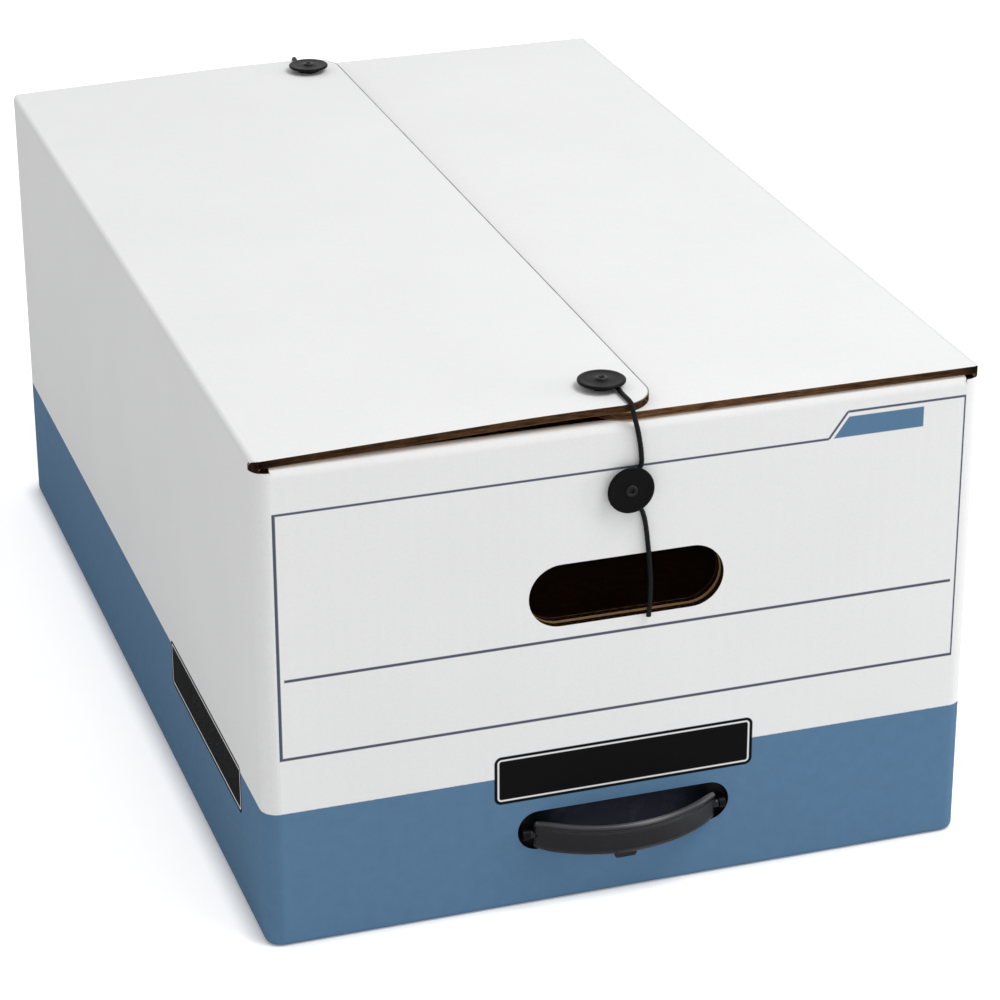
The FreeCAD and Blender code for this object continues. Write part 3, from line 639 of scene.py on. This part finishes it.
# The grey of the painted shadow line where the left flap steps onto the right one, and how far in from the
# rounded corner it lies.
SEAM_SHADOW_GREY = (0.16, 0.155, 0.15, 1.0)
SEAM_SHADOW_RIM = (FLAP_CORNER - 0.0009, FLAP_CORNER - 0.0005)
CORNER_CUTS = (0.1896, 0.1903, 0.1910, 0.1916, 0.1922)


def painted_flap_end_shade(place, middle, fold):
    """Painted light and shade on a flap's cut end: one level along the middle, another towards the fold, and
    dark at the fold itself.
    """
    off = abs(place[0])
    return map_range(off, 0.06, 0.17, middle, fold) * map_range(off, 0.178, 0.189, 1.0, 0.2)


def right_flap_layout(place, facing):
    through = scaled(place[2], FLAP_UNDERSIDE, BOARD)
    # Painted light and shade: the right flap's cut ends are lighter along the middle and darker at the fold.
    return facing[2], through, place[1], abs(facing[0]), painted_flap_end_shade(place, 1.3, 0.8)


def left_flap_layout(place, facing):
    underside = smallest((place[0] + LAP_START) * LAP_CLIMB, LAP_RISE) + FLAP_UNDERSIDE
    mouth = abs(facing[0])
    # Painted shade: the left flap's cut ends are darker than the right flap's, as under its lifted edge;
    # where the flutes open, the cut keeps its own colour.
    cut_shade = largest(mouth, painted_flap_end_shade(place, 0.75, 0.45))
    return facing[2], (place[2] - underside) / BOARD, place[1], mouth, cut_shade


def painted_seam_shadow(place):
    """A painted shadow: the white face is greyed along the left flap's free edge and round its two free
    corners.
    """
    x, y = place[:2]
    off_x = largest(x - (FLAP_EDGE - FLAP_CORNER), 0.0)
    reach = diagonal(off_x, beyond(y, FLAP_END - FLAP_CORNER))
    rim = soft_step(reach, *SEAM_SHADOW_RIM) * soft_step(off_x, 0.0, 0.004)
    return SEAM_SHADOW_GREY, rim * map_range(noise(flat_vector(x, y), 85.0, 3.0), 0.3, 0.7, 0.7, 1.0)


def corner_limit(x):
    """How far along Y the board reaches at a distance X from the middle, round the corner."""
    off = max(0.0, abs(x) - CORNER_X)
    return min(FLAP_END, CORNER_Y + math.sqrt(max(0.0, CORNER_RADIUS ** 2 - off ** 2)))


def round_fold_corner(place):
    """Takes the sharp corner off a flap at its fold, above the rounded corner of the box."""
    place.y = math.copysign(min(abs(place.y), corner_limit(place.x)), place.y)


right_board = board_material("right_flap_board", right_flap_layout)
left_board = board_material("left_flap_board", left_flap_layout, painted_seam_shadow)
for word, side, board in (("left", -1, left_board), ("right", 1, right_board)):
    corner_cuts = [((side * x, 0.0, 0.0), (1.0, 0.0, 0.0)) for x in CORNER_CUTS]
    flap = eased_copy(word + "_top_flap", corner_cuts, round_fold_corner)
    flap.data.materials.append(board)
    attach(flap, word + "_flap")
    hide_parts(word + "_top_flap")


# Creases of the top flaps: the outer liner runs on round each fold, and the inner one stretches across it
# when the flap lies open. Past the corner posts the folded board shows its cut end.
FOLD_STEPS, MITRE_STEPS = 20, 8
OUTSIDE, TOP, POST_TOP = 0.1937, 0.2731, 0.2669
LINER, LINER_PROUD, INNER_SPAN = 0.0003, 0.00012, 0.0012
INNER_SHORT, BLOCK_PROUD = 0.0005, 0.0002
MITRE_LENGTH = BOARD - 0.29 * FOLD_RADIUS


def outer_liner_layout(place, facing):
    return 1.0, 1.0, place[1], 0.0, 1.0


def inner_liner_layout(place, facing):
    return -1.0, 0.0, place[1], 0.0, 1.0


def fold_end_layout(place, facing):
    on_end = soft_step(abs(facing[1]), 0.10, 0.05)
    outward = (facing[0] * sign(place[0]) + facing[2]) * on_end
    # Painted shade: the cut ends of the folds are darkened to 0.3 of their colour.
    return outward, scaled(abs(place[0]), OUTSIDE - BOARD, BOARD), place[1], 0.0, 0.3


def face_outwards(mesh):
    edit = bmesh.new()
    edit.from_mesh(mesh)
    bmesh.ops.recalc_face_normals(edit, faces=edit.faces)
    edit.to_mesh(mesh)
    edit.free()


def drawn_bar(name, one_edge, other_edge, ends, material):
    """A bar along Y between two rows of (x, z), closed at both ends. Each end gives Y for a value of X."""
    section = one_edge + other_edge[::-1]
    count = len(section)
    mesh = bpy.data.meshes.new(name)
    vertices = [(x, end(x), z) for end in ends for x, z in section]
    faces = [(i, (i + 1) % count, count + (i + 1) % count, count + i) for i in range(count)]
    for first in (0, count):
        last = first + count - 1
        faces += [(first + i, first + i + 1, last - i - 1, last - i) for i in range(len(one_edge) - 1)]
    mesh.from_pydata(vertices, [], faces)
    face_outwards(mesh)
    mesh.materials.append(material)
    return add_object(name, mesh)


outer_liner = board_material("folded_outer_liner", outer_liner_layout)
inner_liner = board_material("folded_inner_liner", inner_liner_layout)
fold_cut = board_material("fold_cut", fold_end_layout)
for side, word in ((-1, "left"), (1, "right")):
    arc_x, arc_z = side * (OUTSIDE - FOLD_RADIUS), TOP - FOLD_RADIUS

    def on_arc(radius, angle):
        return arc_x + side * radius * math.cos(angle), arc_z + radius * math.sin(angle)

    quarter = [math.pi / 2 * step / FOLD_STEPS for step in range(FOLD_STEPS + 1)]
    outer = [on_arc(FOLD_RADIUS + LINER_PROUD, angle) for angle in quarter]
    inner = [on_arc(FOLD_RADIUS - LINER, angle) for angle in quarter]
    strip_ends = (lambda x: -LINER - corner_limit(x), lambda x: LINER + corner_limit(x))
    strip = drawn_bar(word + "_fold_outside", outer, inner, strip_ends, outer_liner)
    word + "_flap"
    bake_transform(strip)

    low = (side * (OUTSIDE - BOARD), TOP - BOARD - INNER_SPAN)
    high = (side * (OUTSIDE - BOARD - INNER_SPAN), TOP - BOARD)
    face = [(low[0] + (high[0] - low[0]) * step / FOLD_STEPS, low[1] + (high[1] - low[1]) * step / FOLD_STEPS)
            for step in range(FOLD_STEPS + 1)]
    back = [(x + side * LINER, z + LINER) for x, z in face]
    strip_ends = (lambda x: INNER_SHORT - FLAP_END, lambda x: FLAP_END - INNER_SHORT)
    strip = drawn_bar(word + "_fold_inside", face, back, strip_ends, inner_liner)
    word + "_flap"
    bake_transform(strip)

    mitre = []
    for step in range(MITRE_STEPS):
        share = step / MITRE_STEPS * MITRE_LENGTH
        mitre.append((side * (OUTSIDE - BOARD + share), TOP - BOARD + share))
    mitre += [on_arc(FOLD_RADIUS, math.pi / 4 * (1 - step / MITRE_STEPS)) for step in range(MITRE_STEPS + 1)]
    foot = [(x, POST_TOP) for x, z in mitre]
    for end, where in ((-1, "front"), (1, "rear")):
        block_ends = (lambda x: end * CORNER_Y, lambda x: end * (BLOCK_PROUD + corner_limit(x)))
        block = drawn_bar("%s_%s_fold_end" % (where, word), mitre, foot, block_ends, fold_cut)
        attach(block, "box")


# Buttons: black moulded discs with a soft rim, on a hub as high as two turns of string, so that the string
# winds under them. A hollow black rivet holds each, one on either end of the box and one at either end of the
# left flap.
FLAP_BUTTON_X, FLAP_BUTTON_Y = -0.005, 0.279
PANEL_BUTTON_LEVEL = 0.233
TURNED_SIDES = 72
BUTTON_PROFILE = (
    (0.0019, 0.0000), (0.0044, 0.0000), (0.0045, 0.0002), (0.0045, 0.0027), (0.0049, 0.0030),
    (0.0112, 0.0030), (0.0118, 0.00305), (0.0123, 0.0033), (0.0125, 0.0037), (0.0125, 0.0040),
    (0.0124, 0.00435), (0.0120, 0.00462), (0.0115, 0.0047), (0.0104, 0.0047), (0.0098, 0.00458),
    (0.0090, 0.0045), (0.0052, 0.0045), (0.0044, 0.00458), (0.0038, 0.0047), (0.0019, 0.0047),
)
RIVET_HEAD = (
    (0.0000, 0.0040), (0.0009, 0.0040), (0.00115, 0.0042), (0.0013, 0.0050), (0.0016, 0.0054),
    (0.0021, 0.0056), (0.0026, 0.00548), (0.0030, 0.0052), (0.0032, 0.0048), (0.0032, 0.0047),
    (0.0017, 0.0047),
)
# The grey of the painted highlight on the strap's rolled edge and lower lip.
PAINTED_SHEEN_GREY = (0.135, 0.130, 0.140, 1.0)
RIVET_TAIL = ((0.0017, 0.0), (0.0028, 0.0), (0.0028, -0.0006), (0.0024, -0.0008), (0.0, -0.0008))


def turned(name, profile, sides, closed):
    """A mesh turned about Z from a profile of (radius, height), with smooth faces that point outwards."""
    vertices, faces, rings = [], [], []
    for radius, height in profile:
        if radius < 1e-6:
            rings.append([len(vertices)])
            vertices.append((0.0, 0.0, height))
            continue
        rings.append(list(range(len(vertices), len(vertices) + sides)))
        for side in range(sides):
            angle = 2 * math.pi * side / sides
            vertices.append((radius * math.cos(angle), radius * math.sin(angle), height))
    pairs = list(zip(rings, rings[1:])) + ([(rings[-1], rings[0])] if closed else [])
    for first, second in pairs:
        for side in range(sides):
            following = (side + 1) % sides
            if len(first) == 1:
                faces.append((first[0], second[following], second[side]))
            elif len(second) == 1:
                faces.append((first[side], first[following], second[0]))
            else:
                faces.append((first[side], first[following], second[following], second[side]))
    mesh = bpy.data.meshes.new(name)
    mesh.from_pydata(vertices, [], faces)
    face_outwards(mesh)
    for polygon in mesh.polygons:
        polygon.use_smooth = True
    return mesh


def moulded_group():
    """A fine spark grain, and scuffs in patches where the plastic is paler and duller."""
    group, given = start_group("moulded_plastic", (
        ("Position", "Vector", None), ("Color", "Color", None), ("Roughness", "Float", 0.4),
        ("Grain Scale", "Float", 700.0)),
        (("Color", "Color"), ("Roughness", "Float"), ("Height", "Float")))
    wear_and_sheen = soft_step(noise(given["Position"], 90.0, 5.0, 0.65), 0.52, 0.72)
    colour = mix_colours(wear_and_sheen * 0.4, given["Color"], shaded(given["Color"], 2.4))
    grain = noise(given["Position"], given["Grain Scale"])
    return finish_group(group, Color=colour, Roughness=wear_and_sheen * 0.10 + given["Roughness"], Height=grain)


moulded_look = moulded_group()


def moulded_plastic(name, colour, roughness, shine, grain_scale, grain_depth, painted_recess_shade=None, rubbed=None):
    """Black moulded plastic, with a grey painted highlight where the attribute rubbed says so, and painted
    shade darker towards both sides.
    """
    material, position = start_material(name)
    given = {"Position": position, "Color": colour, "Roughness": roughness, "Grain Scale": grain_scale}
    base, dullness, grain = place_look(material, moulded_look, given)
    # The attribute mixes in the grey of a painted highlight.
    if rubbed:
        painted_sheen_mask = add_node(material.node_tree, "ShaderNodeAttribute", attribute_name=rubbed)
        base = mix_colours(Signal(painted_sheen_mask.outputs["Fac"]), base, PAINTED_SHEEN_GREY)
    # Painted shade: the colour darkens towards both ends, as the recess shades them.
    if painted_recess_shade:
        base = shaded(base, map_range(abs(parts(position)[0]), *painted_recess_shade, 1.0, 0.1))
    return finish_material(material, base, dullness, grain, 0.4, grain_depth, shine=shine)


def closure_tree():
    """Puts a turned piece on its front and rear place, as one mesh."""
    tree = bpy.data.node_groups.new("closure_pair", "GeometryNodeTree")
    face = tree.interface
    face.new_socket(name="Geometry", in_out="INPUT", socket_type="NodeSocketGeometry")
    for label in ("Front Place", "Rear Place", "Front Turn", "Rear Turn"):
        face.new_socket(name=label, in_out="INPUT", socket_type="NodeSocketVector")
    face.new_socket(name="Material", in_out="INPUT", socket_type="NodeSocketMaterial")
    face.new_socket(name="Geometry", in_out="OUTPUT", socket_type="NodeSocketGeometry")
    given = add_node(tree, "NodeGroupInput").outputs
    places = add_node(tree, "GeometryNodeMeshLine", {
        "Count": 2, "Start Location": given["Front Place"], "Offset": given["Rear Place"]}, mode="END_POINTS")
    index = add_node(tree, "GeometryNodeInputIndex")
    turn = add_node(tree, "ShaderNodeMix", {
        0: index.outputs[0], 4: given["Front Turn"], 5: given["Rear Turn"]}, data_type="VECTOR")
    pair = add_node(tree, "GeometryNodeInstanceOnPoints", {
        "Points": places.outputs["Mesh"], "Instance": given["Geometry"], "Rotation": turn.outputs[1]})
    solid = add_node(tree, "GeometryNodeRealizeInstances", {"Geometry": pair.outputs["Instances"]})
    painted = add_node(tree, "GeometryNodeSetMaterial", {
        "Geometry": solid.outputs["Geometry"], "Material": given["Material"]})
    add_node(tree, "NodeGroupOutput", {0: painted.outputs["Geometry"]})
    return tree


def placed_pair(name, mesh, material, tree, places, turns):
    made = add_object(name, mesh)
    modifier = made.modifiers.new("pair", "NODES")
    modifier.node_group = tree
    sockets = {item.name: item.identifier for item in tree.interface.items_tree if item.in_out == "INPUT"}
    for label, value in (("Front Place", places[0]), ("Rear Place", places[1]), ("Front Turn", turns[0]),
                         ("Rear Turn", turns[1]), ("Material", material)):
        modifier[sockets[label]] = value
    graph = bpy.context.evaluated_depsgraph_get()
    plain = bpy.data.meshes.new_from_object(made.evaluated_get(graph))
    made.modifiers.remove(modifier)
    made.data = plain
    return made


pair_tree = closure_tree()
button_black = moulded_plastic("button_plastic", (0.0025, 0.0025, 0.0027, 1.0), 0.36, 0.08, 1500.0, 0.00005)
rivet_black = moulded_plastic("rivet_enamel", (0.006, 0.006, 0.0063, 1.0), 0.28, 0.22, 900.0, 0.00003)
for where, body, grip, front_place, front_turn in (
        ("panel", "box", 0.0048, (0.0, -END_FACE, PANEL_BUTTON_LEVEL), (math.pi / 2, 0.0, 0.0)),
        ("flap", "left_flap", 0.0024, (FLAP_BUTTON_X, -FLAP_BUTTON_Y, LEFT_FLAP_TOP), (0.0, 0.0, 0.0))):
    places = (front_place, (front_place[0], -front_place[1], front_place[2]))
    turns = (front_turn, tuple(-angle for angle in front_turn))
    rivet_profile = RIVET_HEAD + tuple((radius, height - grip) for radius, height in RIVET_TAIL)
    for part, profile, closed, black in (("buttons", BUTTON_PROFILE, True, button_black),
                                         ("rivets", rivet_profile, False, rivet_black)):
        name = "%s_%s" % (where, part)
        mesh = turned(name, profile, TURNED_SIDES, closed)
        piece = placed_pair(name, mesh, black, pair_tree, places, turns)
        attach(piece, body)
        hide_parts("front_%s_%s" % (where, part[:-1]), "rear_%s_%s" % (where, part[:-1]))
        "button_plastic" if part == "buttons" else "rivet_metal"


# Washers behind the rivets: thin rings of stamped and blackened steel that spread the pull over the board.
# A stain makes the steel duller in patches.
def stamped_steel():
    material, position = start_material("stamped_steel")
    stain = noise(position, 260.0, 4.0)
    colour = shaded((0.10, 0.10, 0.11), map_range(stain, 0.0, 1.0, 0.7, 1.3))
    finish_material(material, colour, stain * 0.3 + 0.25, stain, 0.3, 0.00005)
    material.node_tree.nodes["Principled BSDF"].inputs["Metallic"].default_value = 1.0
    return material


dress(stamped_steel(), "front_panel_washer", "rear_panel_washer", "front_flap_washer", "rear_flap_washer")


# Handle: a plate of black plastic behind the slot, and a moulded strap whose two ends turn on pins in the
# plate's ears. The strap is a bowed band with a rolled top edge, a thin lip below and a small thumb tongue in
# the middle.
STRAP_PIVOT = Vector((0.0, -0.3064, 0.0422))
STRAP_DROOP = math.radians(6.0)
STRAP_HALF_CHORD, STRAP_BOW, STRAP_THICKNESS = 0.050, 0.0164, 0.0028
STRAP_STEPS, STRAP_END_ROUND = 48, 0.0012
STRAP_TAPER_START, STRAP_TAPER_LENGTH = 0.78, 0.22
STRAP_HALF_HEIGHT, STRAP_HEIGHT_LOSS = 0.0090, 0.0016
STRAP_ROLL, STRAP_ROLL_LOSS = 0.0020, 0.0004
STRAP_HOLLOW, STRAP_LIP, STRAP_LIP_PROUD = 0.00035, 0.0024, 0.00015
# Painted highlight on the rolled edge and the lip: (strength, place and spread as shares of the half length),
# and how far from an edge.
MIDDLE_SHEEN, END_SHEEN, SHEEN_DEPTH = (0.65, 0.15, 0.22), (0.45, 0.97, 0.14), 0.0016
# Painted shade on the plate: where it starts to darken towards its ends, and where it is darkest.
PLATE_PAINTED_SHADE = (0.030, 0.048)
PIN_SIDES, PIN_RIM = 28, 0.0003
COLLAR, PIN = (0.0025, 0.0486, 0.0527), (0.0015, 0.0520, 0.0565)
TONGUE_X, TONGUE_HALF_WIDTH, TONGUE_TOP, TONGUE_FOOT, TONGUE_CORNER = -0.0045, 0.006, -0.0072, -0.0120, 0.0015


def strap_section(share):
    """The strap's section at a share of its half length: (outwards, up) round it, in metres."""
    near_end = max(0.0, (share - STRAP_TAPER_START) / STRAP_TAPER_LENGTH)
    half = STRAP_HALF_HEIGHT - STRAP_HEIGHT_LOSS * near_end ** 2
    roll = STRAP_ROLL - STRAP_ROLL_LOSS * near_end
    face = STRAP_THICKNESS
    hollow = STRAP_HOLLOW * (1.0 - near_end)
    points = [(0.0006, -half), (face - 0.0004, -half), (face + STRAP_LIP_PROUD, -half + 0.0006),
              (face + STRAP_LIP_PROUD, -half + 0.0013), (face - hollow * 0.6, -half + STRAP_LIP)]
    for step in range(1, 8):
        level = step / 8
        points.append((face - hollow * (0.6 + 0.4 * math.sin(math.pi * level)),
                       -half + STRAP_LIP + (2 * half - STRAP_LIP - 2.1 * roll) * level))
    for step in range(15):
        angle = math.radians(-62 + 242 * step / 14)
        points.append((roll + roll * math.cos(angle), half - roll + roll * math.sin(angle)))
    return points + [(0.0, half - roll - 0.002), (0.0, 0.0), (0.0, -half + 0.0008)]


def hung(point):
    """A point drawn level about the strap's pins, hung as the strap hangs."""
    x, out, up = point
    turned_y = -out * math.cos(STRAP_DROOP) - up * math.sin(STRAP_DROOP)
    turned_z = -out * math.sin(STRAP_DROOP) + up * math.cos(STRAP_DROOP)
    return (x, STRAP_PIVOT.y + turned_y, STRAP_PIVOT.z + turned_z)


def join_rings(made, rings):
    """A closed skin over a row of rings."""
    for first, second in zip(rings, rings[1:]):
        for number in range(len(first)):
            following = (number + 1) % len(first)
            made.faces.new((first[number], first[following], second[following], second[number]))
    made.faces.new(rings[0])
    made.faces.new(rings[-1])


def sheen_peak(share, strength, place, spread):
    return strength * math.exp(-((share - place) / spread) ** 2)


def add_band(made):
    """The bowed band, with an attribute that paints a highlight along its rolled edge and its lower lip."""
    radius = (STRAP_HALF_CHORD ** 2 + STRAP_BOW ** 2) / (2 * STRAP_BOW)
    half_turn = math.asin(STRAP_HALF_CHORD / radius)
    half_length = radius * half_turn
    painted_sheen_mask = made.verts.layers.float.new("rubbed")
    rings = []
    shares = [step / STRAP_STEPS for step in range(STRAP_STEPS)]
    shares += [1 - STRAP_END_ROUND / half_length * (1 - step / 6) for step in range(7)]
    for turn_share in [-share for share in reversed(shares[1:])] + shares:
        angle = half_turn * turn_share
        past = max(0.0, 1 - (1 - abs(turn_share)) * half_length / STRAP_END_ROUND)
        inset = STRAP_END_ROUND * (1 - math.sqrt(1 - past ** 2)) * 0.9
        # Painted highlight, strongest in the middle and near the ends, standing in for light caught by the
        # rolled edge and the lip.
        wear_and_sheen = 0.35 + sheen_peak(turn_share, *MIDDLE_SHEEN) + sheen_peak(turn_share, *END_SHEEN)
        section = strap_section(abs(turn_share))
        top = max(up for out, up in section)
        ring = []
        for out, up in section:
            depth, front, low = (top - up) / SHEEN_DEPTH, out > 0.0008, up < -top + SHEEN_DEPTH
            out += math.copysign(min(abs(out - STRAP_THICKNESS / 2), inset), STRAP_THICKNESS / 2 - out)
            up += math.copysign(min(abs(up), inset), -up)
            reach = radius - STRAP_THICKNESS / 2 + out
            place = (reach * math.sin(angle), reach * math.cos(angle) - radius + STRAP_BOW, up)
            vertex = made.verts.new(hung(place))
            vertex[painted_sheen_mask] = wear_and_sheen * front * (max(0.0, 1 - depth ** 2) + 0.35 * low)
            ring.append(vertex)
        rings.append(ring)
    join_rings(made, rings)


def add_pin(made, side, radius, start, finish):
    """A short round pin along X with an eased end."""
    turns = [2 * math.pi * number / PIN_SIDES for number in range(PIN_SIDES)]
    join_rings(made, [
        [made.verts.new(hung((side * x, size * math.cos(angle), size * math.sin(angle)))) for angle in turns]
        for x, size in ((start, radius), (finish - PIN_RIM, radius),
                        (finish - PIN_RIM * 0.3, radius - PIN_RIM * 0.3), (finish, radius - PIN_RIM))])


def add_tongue(made):
    rings = []
    for out, shrink in ((0.0152, 0.0004), (0.0156, 0.0), (0.0170, 0.0), (0.0174, 0.0004)):
        half, low, corner = TONGUE_HALF_WIDTH - shrink, TONGUE_FOOT + shrink, TONGUE_CORNER
        outline = [(-half, TONGUE_TOP), (-half, low + corner), (-half + corner * 0.3, low + corner * 0.3),
                   (-half + corner, low)]
        outline += [(-x, up) for x, up in reversed(outline)]
        rings.append([made.verts.new(hung((x + TONGUE_X, out, up))) for x, up in outline])
    join_rings(made, rings)


strap_shape = bmesh.new()
add_band(strap_shape)
for side in (-1, 1):
    for radius, start, finish in (COLLAR, PIN):
        add_pin(strap_shape, side, radius, start, finish)
add_tongue(strap_shape)
bmesh.ops.recalc_face_normals(strap_shape, faces=strap_shape.faces)
strap_data = bpy.data.meshes.new("moulded_strap")
strap_shape.to_mesh(strap_data)
strap_shape.free()
for polygon in strap_data.polygons:
    polygon.use_smooth = len(polygon.vertices) == 4
strap_data.materials.append(moulded_plastic("strap_plastic", (0.0065, 0.006, 0.0075, 1.0), 0.30, 0.24,
                                            700.0, 0.0001, rubbed="rubbed"))
strap = add_object("moulded_strap", strap_data)
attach(strap, "strap")
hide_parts("handle_strap")
# The plate gets painted shade, darker towards both ends, as in the recess.
dress(moulded_plastic("plate_plastic", (0.020, 0.022, 0.036, 1.0), 0.45, 0.10, 500.0, 0.0001,
                      painted_recess_shade=PLATE_PAINTED_SHADE), "handle_backplate")


# Floor and light: a white sweep under the box, and soft light from the front right, with the room's own light
# from all round.
FLOOR_REACH = 9.0


def white_sweep():
    material, position = start_material("white_sweep")
    tree = material.node_tree
    shader = tree.nodes["Principled BSDF"]
    tint = map_range(noise(position, 40.0), 0.0, 1.0, 0.895, 0.905)
    seen = Signal(add_node(tree, "ShaderNodeLightPath").outputs["Is Camera Ray"])
    # The floor glows for the camera so that it reads white, and ambient occlusion dims the glow next to the
    # box: a painted contact shadow.
    near = add_node(tree, "ShaderNodeAmbientOcclusion", {"Distance": 0.012}, samples=8)
    glow = seen * map_range(Signal(near.outputs["AO"]), 0.5, 1.0, 0.12, 0.56)
    tree.links.new(tint.socket, shader.inputs["Base Color"])
    tree.links.new(glow.socket, shader.inputs["Emission Strength"])
    shader.inputs["Roughness"].default_value = 0.9
    shader.inputs["Specular IOR Level"].default_value = 0.1
    shader.inputs["Emission Color"].default_value = (1.0, 1.0, 1.0, 1.0)
    return material


def soft_box(name, place, target, size, power):
    data = bpy.data.lights.new(name, "AREA")
    data.shape = "DISK"
    data.size = size
    data.energy = power
    made = add_object(name, data)
    made.location = place
    made.rotation_euler = (Vector(target) - Vector(place)).to_track_quat("-Z", "Y").to_euler()


floor_mesh = bpy.data.meshes.new("floor")
corners = [(x * FLOOR_REACH, y * FLOOR_REACH, 0) for x, y in ((-1, -1), (1, -1), (1, 1), (-1, 1))]
floor_mesh.from_pydata(corners, [], [(0, 1, 2, 3)])
floor_mesh.materials.append(white_sweep())
floor = add_object("floor", floor_mesh)
soft_box("key", (1.3, -1.15, 3.2), (0.0, 0.0, 0.1), 1.8, 57.0)
soft_box("glint", (2.2, -0.95, 0.7), (0.0, -0.3, 0.05), 0.45, 9.0)

world = bpy.data.worlds.new("studio")
bpy.context.scene.world = world
world.use_nodes = True
background = world.node_tree.nodes["Background"]
background.inputs["Color"].default_value = (1.0, 1.0, 1.0, 1.0)
ray = add_node(world.node_tree, "ShaderNodeLightPath").outputs
strength = map_range(largest(Signal(ray["Is Camera Ray"]), ray["Is Glossy Ray"]), 0.0, 1.0, 0.62, 1.0)
world.node_tree.links.new(strength.socket, background.inputs["Strength"])
bpy.context.scene.view_settings.view_transform = "Standard"
